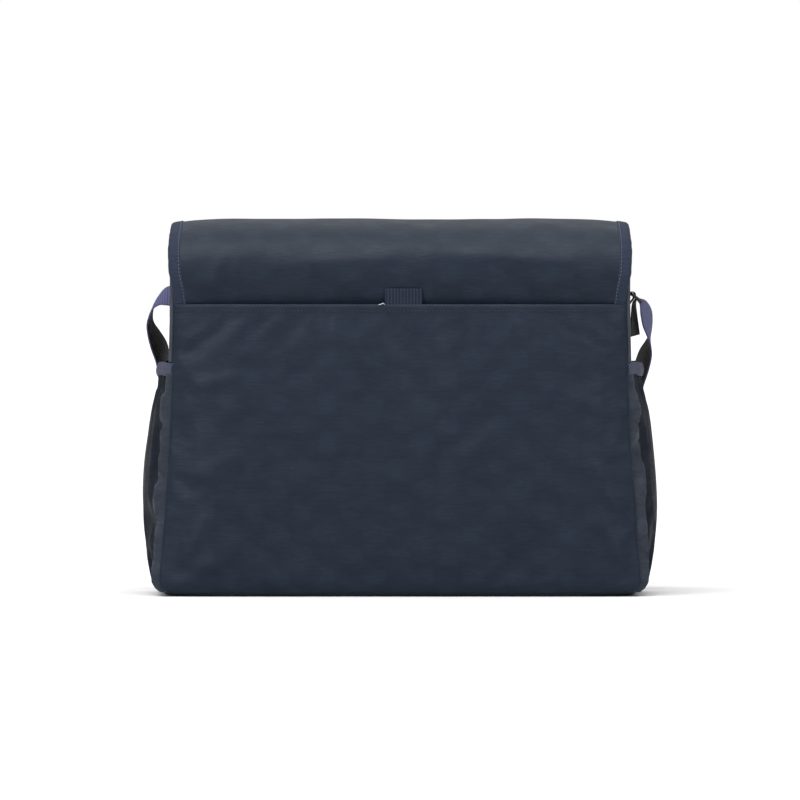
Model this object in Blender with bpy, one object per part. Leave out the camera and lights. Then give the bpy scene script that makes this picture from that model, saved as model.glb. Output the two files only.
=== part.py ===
"""Diaper bag: a soft messenger bag with a flap, a back slip pocket, side pockets and a shoulder strap.

Metres, +Z up. The back of the bag, which rests against the wearer, faces -Y, and the flap closes over the
front, at +Y. The origin is the middle of the base, on the ground.
"""

import math

import bmesh
import bpy
from mathutils import Vector

# Body
TOP_HALF_WIDTH = 0.186
BASE_HALF_WIDTH = 0.199
TAPER_HEIGHT = 0.240
TAPER_POWER = 1.6
MOUTH_HEIGHT = 0.272
PANEL_FACE_Y = 0.0615
PANEL_THICKNESS = 0.0030
CLOTH = 0.0012
LINING = 0.0008
GAP = 0.0003
BASE_THICKNESS = 0.0025
BASE_HALF_LENGTH = 0.197
BASE_HALF_DEPTH = 0.0625
BOARD_HALF_LENGTH = 0.187
BOARD_HALF_DEPTH = 0.0560
BOARD_THICKNESS = 0.0025
LINING_HALF_DEPTH = 0.0565
LINING_INSET = 0.0045
LINING_CORNER_RADIUS = 0.012
MOUTH_TAPE_WIDTH = 0.0050
MOUTH_TAPE_HEIGHT = 0.0022
CORNER_RADIUS = 0.010

# Flap
FLAP_TOP = 0.311
FLAP_ROOT_HEIGHT = 0.228
FLAP_SPRING_HEIGHT = 0.255
FLAP_ROOT_Y = 0.0641
FLAP_BACK_REACH = 0.0675
FLAP_FRONT_REACH = 0.0745
FLAP_FRONT_END_HEIGHT = 0.062
FLAP_ARCH_POWER = 2.6
FLAP_FOLD_Y = 0.045
FLAP_HALF_WIDTH = 0.1885
FLAP_ROOT_HALF_WIDTH = 0.1850
FLAP_CORNER_RADIUS = 0.030
BINDING_WIDTH = 0.0095
BINDING_THICKNESS = 0.0026

# Back slip pocket and its pull tab
BACK_POCKET_HEIGHT = 0.240
BACK_POCKET_BOTTOM = 0.0006
BACK_POCKET_EDGE_Y = 0.0660
BACK_POCKET_MOUTH_SLACK = 0.0057
BACK_POCKET_BELLY = 0.0060
TAB_CENTRE_X = 0.003
TAB_WIDTH = 0.0305
TAB_BOTTOM = 0.2260
TAB_TOP = 0.2535
TAB_THICKNESS = 0.0018

# Front slip pocket
FRONT_POCKET_Y = 0.0674
FRONT_POCKET_SLACK = 0.0044
FRONT_POCKET_BOTTOM = 0.012
FRONT_POCKET_HEIGHT = 0.190
FRONT_TAPE_HEIGHT = 0.0090
FRONT_POCKET_HALF_WIDTH = 0.172
SNAP_X = 0.105
SNAP_HEIGHT = 0.110
SNAP_RADIUS = 0.009
SNAP_THICKNESS = 0.0018

# Side pockets
SIDE_POCKET_HEIGHT = 0.1815
SIDE_POCKET_BELLY = 0.0188
SIDE_BAND_TOP = 0.1930
SIDE_BAND_REACH = 0.0105
SIDE_HALF_DEPTH = 0.0600
GUSSET_BULGE = 0.0030

# Shoulder strap, which turns about an X axis through its two sewn ends
STRAP_AXIS_Z = 0.2475
STRAP_WIDTH = 0.038
STRAP_THICKNESS = 0.0018
STRAP_PATCH_BOTTOM = 0.2040
STRAP_PATCH_TOP = 0.2560

# Half of the strap, from its sewn end over the side pocket, down in front of it and along the ground.
# Each entry is a point of the middle line and the direction of the webbing's width there.
STRAP_ROUTE = (
    ((0.1935, 0.000, 0.2475), (0.00, 0.88, 0.47)),
    ((0.1990, 0.004, 0.2470), (0.02, 0.90, 0.42)),
    ((0.2025, 0.014, 0.2370), (0.10, 0.92, 0.35)),
    ((0.2035, 0.030, 0.2220), (-0.08, 0.90, 0.42)),
    ((0.2005, 0.048, 0.2050), (-0.22, 0.82, 0.50)),
    ((0.1975, 0.064, 0.1860), (-0.22, 0.82, 0.50)),
    ((0.1965, 0.081, 0.1600), (-0.10, 0.87, 0.45)),
    ((0.1965, 0.096, 0.1260), (-0.05, 0.92, 0.36)),
    ((0.1970, 0.108, 0.0880), (-0.05, 0.96, 0.25)),
    ((0.1955, 0.118, 0.0520), (-0.10, 0.97, 0.18)),
    ((0.1900, 0.127, 0.0230), (-0.20, 0.97, 0.10)),
    ((0.1760, 0.135, 0.0065), (-0.30, 0.95, 0.04)),
    ((0.1500, 0.142, 0.0024), (-0.28, 0.96, 0.00)),
    ((0.1100, 0.150, 0.0014), (-0.20, 0.98, 0.00)),
    ((0.0600, 0.156, 0.0014), (-0.10, 0.99, 0.00)),
    ((0.0000, 0.158, 0.0014), (0.00, 1.00, 0.00)),
)
# The right half starts past the buckle, so its upper points lie this much further out.
STRAP_RIGHT_SHIFTS = (0.0092, 0.0055, 0.0040, 0.0030, 0.0040, 0.0030)

# Buckle at the strap's right end, with the webbing loop that holds it and the strap's free end
BUCKLE_IN = Vector((0.1937, 0.0, STRAP_AXIS_Z))
BUCKLE_SLOPE = math.radians(-38)
BUCKLE_LENGTH = 0.0095
BUCKLE_HALF_WIDTH = 0.0225
BUCKLE_BAR = 0.0022
LOOP_RADIUS = 0.0024
FREE_END_TOP = 0.0085
FREE_END_BOTTOM = 0.0335
BUCKLE_SLOTS = ((0.0004, 0.0028), (0.0050, 0.0074))
LOOP_TURN = math.radians(130)
FREE_END_X = 0.1948
FREE_END_WIDTH = 0.0304
FREE_END_THICKNESS = 0.0011

# Inner pockets
ZIP_HALF_LENGTH = 0.120
ZIP_HEIGHT = 0.2335
ZIP_TAPE_HEIGHT = 0.006
ZIP_PANEL_BOTTOM = 0.110
ZIP_SLIDER_X = -0.095
ZIP_SLIDER_THICKNESS = 0.0024
ZIP_PULLER_GAP = 0.0006
ZIP_TAPE_THICKNESS = 0.0010
ZIP_PANEL_MARGIN = 0.010
ZIP_SLIDER_HALF_LENGTH = 0.0055
ZIP_SLIDER_HALF_HEIGHT = 0.0040
ZIP_PULLER_HALF_WIDTH = 0.0035
ZIP_PULLER_THICKNESS = 0.0014
ZIP_PULLER_BELOW = 0.0250
ZIP_PULLER_ABOVE = 0.0010
INNER_POCKET_HALF_WIDTH = 0.150
INNER_POCKET_BOTTOM = 0.030
INNER_POCKET_HEIGHT = 0.160
INNER_POCKET_Y = 0.0490
INNER_ELASTIC_HEIGHT = 0.0080
INNER_ELASTIC_THICKNESS = 0.0010

COLOURS = {
    "navy_fabric": ((0.021, 0.029, 0.047), 0.55, 0.0),
    "navy_lining": ((0.090, 0.105, 0.140), 0.75, 0.0),
    "navy_tape": ((0.045, 0.050, 0.090), 0.70, 0.0),
    "strap_webbing": ((0.060, 0.058, 0.140), 0.75, 0.0),
    "tab_webbing": ((0.026, 0.036, 0.060), 0.80, 0.0),
    "stiffener": ((0.030, 0.030, 0.032), 0.60, 0.0),
    "black_plastic": ((0.012, 0.012, 0.013), 0.40, 0.0),
    "snap_metal": ((0.350, 0.350, 0.370), 0.30, 1.0),
}


def clear_scene():
    for obj in list(bpy.data.objects):
        bpy.data.objects.remove(obj)


def make_materials():
    made = {}
    for name, (colour, roughness, metallic) in COLOURS.items():
        material = bpy.data.materials.new(name)
        material.use_nodes = True
        shader = material.node_tree.nodes["Principled BSDF"]
        shader.inputs["Base Color"].default_value = (*colour, 1.0)
        shader.inputs["Roughness"].default_value = roughness
        shader.inputs["Metallic"].default_value = metallic
        made[name] = material
    return made


clear_scene()
MATERIALS = make_materials()


def add_object(name, mesh, material):
    """Links a mesh as an object, smooth where its faces meet at less than 40 degrees."""
    mesh.shade_smooth()
    mesh.set_sharp_from_angle(angle=math.radians(40))
    mesh.materials.append(MATERIALS[material])
    obj = bpy.data.objects.new(name, mesh)
    bpy.context.scene.collection.objects.link(obj)
    return obj


def solid(name, points, faces, material):
    """A closed solid from points and faces, with its faces turned outwards."""
    mesh = bpy.data.meshes.new(name)
    mesh.from_pydata([tuple(point) for point in points], [], faces)
    work = bmesh.new()
    work.from_mesh(mesh)
    bmesh.ops.recalc_face_normals(work, faces=work.faces)
    work.to_mesh(mesh)
    work.free()
    return add_object(name, mesh, material)


def sheet(name, outer_at, inner_at, steps, material):
    """A curved panel between its outer and inner faces, each a function of u and v from 0 to 1."""
    across, along = steps
    points = []
    for face_at in (outer_at, inner_at):
        for j in range(along + 1):
            for i in range(across + 1):
                points.append(face_at(i / across, j / along))
    row = across + 1
    layer = row * (along + 1)
    faces = []
    for j in range(along):
        for i in range(across):
            corner = j * row + i
            quad = (corner, corner + 1, corner + row + 1, corner + row)
            faces.append(quad)
            faces.append(tuple(layer + index for index in reversed(quad)))
    rim = [i for i in range(row)]
    rim += [j * row + across for j in range(1, along + 1)]
    rim += [along * row + i for i in range(across - 1, -1, -1)]
    rim += [j * row for j in range(along - 1, 0, -1)]
    for start, end in zip(rim, rim[1:] + rim[:1]):
        faces.append((start, end, layer + end, layer + start))
    return solid(name, points, faces, material)


def ribbon(name, stations, width, thickness, material, closed=False):
    """A flat band. Each station is its centre, the direction of its width and that of its face."""
    points = []
    for centre, across, face in stations:
        for side, up in ((-1, -1), (1, -1), (1, 1), (-1, 1)):
            points.append(centre + across * (side * width / 2) + face * (up * thickness / 2))
    count = len(stations)
    faces = []
    for k in range(count if closed else count - 1):
        near = 4 * k
        far = 4 * ((k + 1) % count)
        for side in range(4):
            turn = (side + 1) % 4
            faces.append((near + side, near + turn, far + turn, far + side))
    if not closed:
        faces.append((3, 2, 1, 0))
        faces.append(tuple(4 * (count - 1) + side for side in range(4)))
    return solid(name, points, faces, material)


def block(name, low, high, material, bevel=0.0):
    """A rectangular piece with softened edges."""
    size = [top - bottom for bottom, top in zip(low, high)]
    middle = [(top + bottom) / 2 for bottom, top in zip(low, high)]
    mesh = bpy.data.meshes.new(name)
    work = bmesh.new()
    bmesh.ops.create_cube(work, size=1.0)
    bmesh.ops.scale(work, vec=size, verts=work.verts)
    if bevel:
        bmesh.ops.bevel(work, geom=work.edges, offset=bevel, segments=2, affect="EDGES")
    work.to_mesh(mesh)
    work.free()
    obj = add_object(name, mesh, material)
    obj.location = middle
    return obj


def disc(name, centre, radius, thickness, material):
    """A round snap part with its axis along Y."""
    mesh = bpy.data.meshes.new(name)
    work = bmesh.new()
    bmesh.ops.create_cone(
        work, cap_ends=True, segments=24, radius1=radius, radius2=radius * 0.92, depth=thickness
    )
    work.to_mesh(mesh)
    work.free()
    obj = add_object(name, mesh, material)
    obj.location = centre
    obj.rotation_euler = (math.radians(-90), 0.0, 0.0)
    return obj


def half_width(z):
    """Half the width of the body at height z: it spreads towards the base."""
    drop = max(0.0, (TAPER_HEIGHT - z) / TAPER_HEIGHT)
    return TOP_HALF_WIDTH + (BASE_HALF_WIDTH - TOP_HALF_WIDTH) * drop**TAPER_POWER


def rounded_half_width(z, bottom):
    """The same outline with its lower corners rounded."""
    rise = (bottom + CORNER_RADIUS - z) / CORNER_RADIUS
    if rise <= 0:
        return half_width(z)
    return half_width(z) - CORNER_RADIUS * (1 - math.sqrt(max(0.0, 1 - rise * rise)))


def height_at(v, bottom, top):
    """Heights that crowd towards the rounded lower corners."""
    return bottom + (top - bottom) * v**1.6


def make_body():
    bottom = BASE_THICKNESS + GAP
    inset = 0.001

    def panel_point(u, v, y):
        z = height_at(v, bottom, MOUTH_HEIGHT)
        return Vector(((2 * u - 1) * (rounded_half_width(z, bottom) - inset), y, z))

    for name, side in (("back_panel", -1), ("front_panel", 1)):
        sheet(
            name,
            lambda u, v, side=side: panel_point(u, v, side * PANEL_FACE_Y),
            lambda u, v, side=side: panel_point(u, v, side * (PANEL_FACE_Y - PANEL_THICKNESS)),
            (2, 10),
            "navy_fabric",
        )

    gusset_half_depth = PANEL_FACE_Y - PANEL_THICKNESS - 0.0005

    def gusset_point(u, v, side, depth):
        z = bottom + (MOUTH_HEIGHT - bottom) * v
        y = (2 * u - 1) * gusset_half_depth
        bulge = GUSSET_BULGE * (1 - (2 * u - 1) ** 2)
        return Vector((side * (half_width(z) - inset + bulge - depth), y, z))

    for name, side in (("gusset_left", -1), ("gusset_right", 1)):
        sheet(
            name,
            lambda u, v, side=side: gusset_point(u, v, side, 0.0),
            lambda u, v, side=side: gusset_point(u, v, side, CLOTH),
            (6, 8),
            "navy_fabric",
        )

    block(
        "base_panel",
        (-BASE_HALF_LENGTH, -BASE_HALF_DEPTH, 0.0),
        (BASE_HALF_LENGTH, BASE_HALF_DEPTH, BASE_THICKNESS),
        "navy_fabric",
    )
    board_top = bottom + BOARD_THICKNESS
    block(
        "base_board",
        (-BOARD_HALF_LENGTH, -BOARD_HALF_DEPTH, bottom),
        (BOARD_HALF_LENGTH, BOARD_HALF_DEPTH, board_top),
        "stiffener",
    )
    make_lining(board_top + GAP)
    make_mouth_binding()


def rounded_loop(half_x, half_y, radius, z, per_corner=4):
    """The points of a rounded rectangle at height z."""
    points = []
    for quarter in range(4):
        centre_x = (half_x - radius) * (1 if quarter in (0, 3) else -1)
        centre_y = (half_y - radius) * (1 if quarter < 2 else -1)
        for k in range(per_corner + 1):
            angle = math.radians(90 * (quarter + k / per_corner))
            points.append(
                Vector((centre_x + radius * math.cos(angle), centre_y + radius * math.sin(angle), z))
            )
    return points


def make_lining(bottom):
    """An open tub of thin cloth inside the panels and gussets."""
    levels = [bottom + (MOUTH_HEIGHT - bottom) * k / 6 for k in range(7)]
    outer = []
    inner = []
    for z in levels:
        half_x = half_width(z) - LINING_INSET
        outer.append(rounded_loop(half_x, LINING_HALF_DEPTH, LINING_CORNER_RADIUS, z))
        inner.append(
            rounded_loop(
                half_x - LINING,
                LINING_HALF_DEPTH - LINING,
                LINING_CORNER_RADIUS - LINING,
                max(z, bottom + LINING),
            )
        )
    per_loop = len(outer[0])
    points = [point for loop in outer + inner for point in loop]
    faces = []
    for layer in range(2):
        first = layer * len(levels) * per_loop
        for k in range(len(levels) - 1):
            for i in range(per_loop):
                a = first + k * per_loop + i
                b = first + k * per_loop + (i + 1) % per_loop
                faces.append((a, b, b + per_loop, a + per_loop))
        faces.append(tuple(first + i for i in range(per_loop)))
    top_outer = (len(levels) - 1) * per_loop
    top_inner = top_outer + len(levels) * per_loop
    for i in range(per_loop):
        turn = (i + 1) % per_loop
        faces.append((top_outer + i, top_outer + turn, top_inner + turn, top_inner + i))
    solid("lining", points, faces, "navy_lining")


def make_mouth_binding():
    """A tape round the mouth, over the top edges of the panels, gussets and lining."""
    half_x = half_width(MOUTH_HEIGHT) - 0.0025
    half_y = PANEL_FACE_Y - 0.0028
    loop = rounded_loop(half_x, half_y, 0.008, MOUTH_HEIGHT + GAP + MOUTH_TAPE_HEIGHT / 2)
    stations = []
    for i, point in enumerate(loop):
        ahead = loop[(i + 1) % len(loop)] - loop[i - 1]
        across = Vector((ahead.y, -ahead.x, 0)).normalized()
        stations.append((point, across, Vector((0, 0, 1))))
    ribbon("mouth_binding", stations, MOUTH_TAPE_WIDTH, MOUTH_TAPE_HEIGHT, "navy_tape", closed=True)


def arch_point(angle, reach):
    """A point of the flap's arch: a superellipse from its spring line up to the top and down again."""
    shape = 2 / FLAP_ARCH_POWER
    cosine = math.cos(angle)
    y = -reach * math.copysign(abs(cosine) ** shape, cosine)
    z = FLAP_SPRING_HEIGHT + (FLAP_TOP - FLAP_SPRING_HEIGHT) * math.sin(angle) ** shape
    return Vector((0.0, y, z))


def flap_outline():
    """The flap's outer face in its middle plane: up the back, over the arch and down the front."""
    rise = FLAP_SPRING_HEIGHT - FLAP_ROOT_HEIGHT
    points = []
    for k in range(8):
        share = k / 8
        spread = FLAP_BACK_REACH - FLAP_ROOT_Y
        swell = max(0.0, 2 * share - 1)
        y = -FLAP_ROOT_Y - spread * (1 - math.cos(math.pi * swell)) / 2
        points.append(Vector((0.0, y, FLAP_ROOT_HEIGHT + rise * share)))
    for k in range(61):
        angle = math.pi * k / 60
        reach = FLAP_BACK_REACH if k < 30 else FLAP_FRONT_REACH
        points.append(arch_point(angle, reach))
    drop = FLAP_SPRING_HEIGHT - FLAP_FRONT_END_HEIGHT
    for k in range(1, 21):
        points.append(Vector((0.0, FLAP_FRONT_REACH, FLAP_SPRING_HEIGHT - drop * k / 20)))
    return points


OUTLINE = flap_outline()
DISTANCES = [0.0]
for before, after in zip(OUTLINE, OUTLINE[1:]):
    DISTANCES.append(DISTANCES[-1] + (after - before).length)
FLAP_LENGTH = DISTANCES[-1]


def outline_at(distance):
    """The place on the outline at a distance along it, and the outward normal there."""
    distance = min(max(distance, 0.0), FLAP_LENGTH)
    k = 0
    while k < len(DISTANCES) - 2 and DISTANCES[k + 1] < distance:
        k += 1
    share = (distance - DISTANCES[k]) / (DISTANCES[k + 1] - DISTANCES[k])
    place = OUTLINE[k].lerp(OUTLINE[k + 1], share)
    ahead = (OUTLINE[min(k + 2, len(OUTLINE) - 1)] - OUTLINE[max(k - 1, 0)]).normalized()
    return place, Vector((0.0, -ahead.z, ahead.y))


def distance_where_y(y):
    """How far along the outline it first reaches this y, past the root."""
    for k in range(1, len(OUTLINE)):
        if OUTLINE[k - 1].y < y <= OUTLINE[k].y:
            share = (y - OUTLINE[k - 1].y) / (OUTLINE[k].y - OUTLINE[k - 1].y)
            return DISTANCES[k - 1] + share * (DISTANCES[k] - DISTANCES[k - 1])
    return FLAP_LENGTH


FOLD_BACK = distance_where_y(-FLAP_FOLD_Y)
FOLD_FRONT = distance_where_y(FLAP_FOLD_Y)


def flap_half_width(distance):
    """Half the width of the flap over its bindings: narrower at the root, rounded at the front corners."""
    spread = min(1.0, distance / 0.030)
    width = FLAP_ROOT_HALF_WIDTH + (FLAP_HALF_WIDTH - FLAP_ROOT_HALF_WIDTH) * spread
    rest = (distance - (FLAP_LENGTH - FLAP_CORNER_RADIUS)) / FLAP_CORNER_RADIUS
    if rest > 0:
        width -= FLAP_CORNER_RADIUS * (1 - math.sqrt(max(0.0, 1 - rest * rest)))
    return width


def flap_place(x, distance, depth):
    place, normal = outline_at(distance)
    return Vector((x, place.y, place.z)) - normal * depth


def make_flap_section(section, start, end, steps_along):
    """The outer panel, the lining under it and the edge bindings of one stretch of the flap."""
    last = FLAP_LENGTH - BINDING_WIDTH - GAP
    stop = min(end, last)

    def panel_half(distance):
        """Half the panel's width inside its bindings. The last stretch has rounded corners."""
        clear = BINDING_WIDTH + GAP
        if end <= last:
            return flap_half_width(distance) - clear
        inner = FLAP_CORNER_RADIUS - clear
        share = min(1.0, max(0.0, (distance - last + inner) / inner))
        return FLAP_HALF_WIDTH - clear - inner * (1 - math.sqrt(1 - share * share))

    layers = (
        (f"flap_{section}_panel", 0.0, CLOTH, "navy_fabric"),
        (f"flap_{section}_lining", CLOTH + GAP, CLOTH + GAP + LINING, "navy_lining"),
    )
    for name, top, under, material in layers:
        def face(u, v, depth):
            share = 1 - (1 - v) ** 1.5 if end > last else v
            distance = start + (stop - start) * share
            return flap_place((2 * u - 1) * panel_half(distance), distance, depth)

        sheet(
            name,
            lambda u, v, face=face, top=top: face(u, v, top),
            lambda u, v, face=face, under=under: face(u, v, under),
            (4, steps_along),
            material,
        )

    middle = BINDING_THICKNESS / 2
    if end <= last:
        for side_name, side in (("left", -1), ("right", 1)):
            stations = []
            for k in range(steps_along + 1):
                distance = start + (end - start) * k / steps_along
                x = side * (flap_half_width(distance) - BINDING_WIDTH / 2)
                normal = outline_at(distance)[1]
                stations.append((flap_place(x, distance, middle), Vector((side, 0, 0)), normal))
            ribbon(
                f"flap_{section}_binding_{side_name}", stations, BINDING_WIDTH, BINDING_THICKNESS, "navy_tape"
            )
        return
    ribbon(
        f"flap_{section}_binding",
        front_binding_stations(start, steps_along, middle),
        BINDING_WIDTH,
        BINDING_THICKNESS,
        "navy_tape",
    )


def front_binding_stations(start, steps_along, depth):
    """Down the left edge of the front flap, round its lower corners and up the right edge."""
    radius = FLAP_CORNER_RADIUS - BINDING_WIDTH / 2
    side_x = FLAP_HALF_WIDTH - BINDING_WIDTH / 2
    corner = FLAP_LENGTH - FLAP_CORNER_RADIUS
    half = []
    for k in range(steps_along):
        half.append((side_x, start + (corner - start) * k / steps_along, 0.0))
    for k in range(7):
        angle = math.radians(90 * k / 6)
        x = side_x - radius + radius * math.cos(angle)
        half.append((x, corner + radius * math.sin(angle), angle))
    stations = []
    for side, steps in ((-1, half), (1, list(reversed(half)))):
        for x, distance, angle in steps:
            normal = outline_at(distance)[1]
            down = Vector((0, normal.z, -normal.y))
            outward = Vector((side, 0, 0)) * math.cos(angle) + down * math.sin(angle)
            stations.append((flap_place(side * x, distance, depth), outward, normal))
    return stations


def make_flap():
    make_flap_section("back", 0.0, FOLD_BACK - GAP / 2, 10)
    make_flap_section("top", FOLD_BACK + GAP / 2, FOLD_FRONT - GAP / 2, 8)
    make_flap_section("front", FOLD_FRONT + GAP / 2, FLAP_LENGTH, 14)


def make_back_pocket():
    """A full-width slip pocket with a slack mouth, sewn in at its sides and base."""

    def point(u, v, depth):
        z = height_at(v, BACK_POCKET_BOTTOM, BACK_POCKET_HEIGHT)
        side = 2 * u - 1
        share = z / BACK_POCKET_HEIGHT
        slack = BACK_POCKET_MOUTH_SLACK * share + BACK_POCKET_BELLY * math.sin(math.pi * share)
        y = BACK_POCKET_EDGE_Y + slack * (1 - side**6)
        x = side * rounded_half_width(z, BACK_POCKET_BOTTOM)
        return Vector((x, -(y - depth), z))

    sheet(
        "back_pocket",
        lambda u, v: point(u, v, 0.0),
        lambda u, v: point(u, v, CLOTH),
        (14, 12),
        "navy_fabric",
    )
    tab_y = -(BACK_POCKET_EDGE_Y + 0.0030)
    block(
        "back_pocket_tab",
        (TAB_CENTRE_X - TAB_WIDTH / 2, tab_y - TAB_THICKNESS / 2, TAB_BOTTOM),
        (TAB_CENTRE_X + TAB_WIDTH / 2, tab_y + TAB_THICKNESS / 2, TAB_TOP),
        "tab_webbing",
        bevel=0.0004,
    )


def make_front_pocket():
    """A slip pocket under the flap, its tape, and the two magnetic snaps that hold the flap down."""

    def point(u, v, depth):
        z = FRONT_POCKET_BOTTOM + (FRONT_POCKET_HEIGHT - FRONT_POCKET_BOTTOM) * v
        side = 2 * u - 1
        slack = FRONT_POCKET_SLACK * (1 - side**8) * min(1.0, v * 6)
        y = FRONT_POCKET_Y - FRONT_POCKET_SLACK + slack - depth
        return Vector((side * FRONT_POCKET_HALF_WIDTH, y, z))

    sheet(
        "front_pocket",
        lambda u, v: point(u, v, 0.0),
        lambda u, v: point(u, v, LINING),
        (12, 8),
        "navy_fabric",
    )
    stations = []
    for k in range(17):
        side = -1 + k / 8
        y = FRONT_POCKET_Y - FRONT_POCKET_SLACK * side**8
        z = FRONT_POCKET_HEIGHT + GAP + FRONT_TAPE_HEIGHT / 2
        centre = Vector((side * FRONT_POCKET_HALF_WIDTH, y - LINING / 2, z))
        stations.append((centre, Vector((0, 0, 1)), Vector((0, 1, 0))))
    ribbon("front_pocket_binding", stations, FRONT_TAPE_HEIGHT, CLOTH, "navy_tape")

    socket_y = FRONT_POCKET_Y + GAP + SNAP_THICKNESS / 2
    for name, x in (("left", -SNAP_X), ("right", SNAP_X)):
        socket = Vector((x, socket_y, SNAP_HEIGHT))
        disc(f"snap_socket_{name}", socket, SNAP_RADIUS, SNAP_THICKNESS, "snap_metal")
        stud = socket + Vector((0, SNAP_THICKNESS + GAP, 0))
        disc(f"snap_stud_{name}", stud, SNAP_RADIUS, SNAP_THICKNESS, "snap_metal")


def belly(z):
    """How far a side pocket stands out from the body's side, in the middle of its depth."""
    share = min(1.0, max(0.0, z / SIDE_POCKET_HEIGHT))
    return SIDE_POCKET_BELLY * math.sin(0.83 * math.pi * share**0.85)


def make_side_pockets():
    bottom = BASE_THICKNESS + GAP

    def point(u, v, side, depth):
        z = bottom + (SIDE_POCKET_HEIGHT - bottom) * v
        share = 2 * u - 1
        reach = belly(z) * (1 - abs(share) ** 3)
        out = half_width(z) + 0.0010 + LINING + reach - depth
        y = share * (SIDE_HALF_DEPTH - depth * 0.5)
        return Vector((side * out, y, z))

    band_middle = (SIDE_POCKET_HEIGHT + GAP + SIDE_BAND_TOP) / 2
    band_height = SIDE_BAND_TOP - SIDE_POCKET_HEIGHT - GAP
    for name, side in (("left", -1), ("right", 1)):
        sheet(
            f"side_pocket_{name}",
            lambda u, v, side=side: point(u, v, side, 0.0),
            lambda u, v, side=side: point(u, v, side, LINING),
            (12, 12),
            "navy_fabric",
        )
        stations = []
        for k in range(17):
            share = math.sin(math.pi * (k / 16 - 0.5))
            reach = SIDE_BAND_REACH * (1 - abs(share) ** 3)
            x = half_width(band_middle) + 0.0016 + reach
            slope = -3 * SIDE_BAND_REACH * share * abs(share) / SIDE_HALF_DEPTH
            face = Vector((side, -slope, 0)).normalized()
            centre = Vector((side * x, share * (SIDE_HALF_DEPTH - 0.0005), band_middle))
            stations.append((centre, Vector((0, 0, 1)), face))
        ribbon(f"side_pocket_band_{name}", stations, band_height, 0.0016, "navy_tape")


def smooth_through(points, steps):
    """Points on a Catmull-Rom curve through the given ones."""
    ends = [points[0] * 2 - points[1]] + points + [points[-1] * 2 - points[-2]]
    curve = []
    for k in range(len(points) - 1):
        a, b, c, d = ends[k : k + 4]
        for step in range(steps):
            t = step / steps
            curve.append(
                b
                + (c - a) * (t / 2)
                + (2 * a - 5 * b + 4 * c - d) * (t**2 / 2)
                + (3 * b - a - 3 * c + d) * (t**3 / 2)
            )
    curve.append(points[-1])
    return curve


def mirrored(point):
    return Vector((-point.x, point.y, point.z))


def strap_stations():
    """The whole strap, from its left end to its right end."""
    places = [Vector(place) for place, _ in STRAP_ROUTE]
    widths = [Vector(width).normalized() for _, width in STRAP_ROUTE]
    right_places = [place.copy() for place in places]
    for place, shift in zip(right_places, STRAP_RIGHT_SHIFTS):
        place.x += shift
    middle = smooth_through([mirrored(p) for p in places] + list(reversed(right_places[:-1])), 3)
    across = smooth_through([mirrored(w) for w in widths] + list(reversed(widths[:-1])), 3)
    stations = []
    for k, centre in enumerate(middle):
        ahead = (middle[min(k + 1, len(middle) - 1)] - middle[max(k - 1, 0)]).normalized()
        width = across[k].normalized()
        stations.append((centre, width, ahead.cross(width).normalized()))
    return stations


def make_strap():
    """The sewn patches, the webbing loop, the buckle and the shoulder strap with its free end."""
    patch_in = half_width(STRAP_PATCH_BOTTOM) - 0.001 + GUSSET_BULGE + GAP
    for name, side in (("left", -1), ("right", 1)):
        near = side * patch_in
        far = side * (patch_in + 0.0016)
        block(
            f"strap_patch_{name}",
            (min(near, far), -STRAP_WIDTH / 2, STRAP_PATCH_BOTTOM),
            (max(near, far), STRAP_WIDTH / 2, STRAP_PATCH_TOP),
            "strap_webbing",
            bevel=0.0004,
        )
    ribbon("shoulder_strap", strap_stations(), STRAP_WIDTH, STRAP_THICKNESS, "strap_webbing")
    make_buckle()


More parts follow.
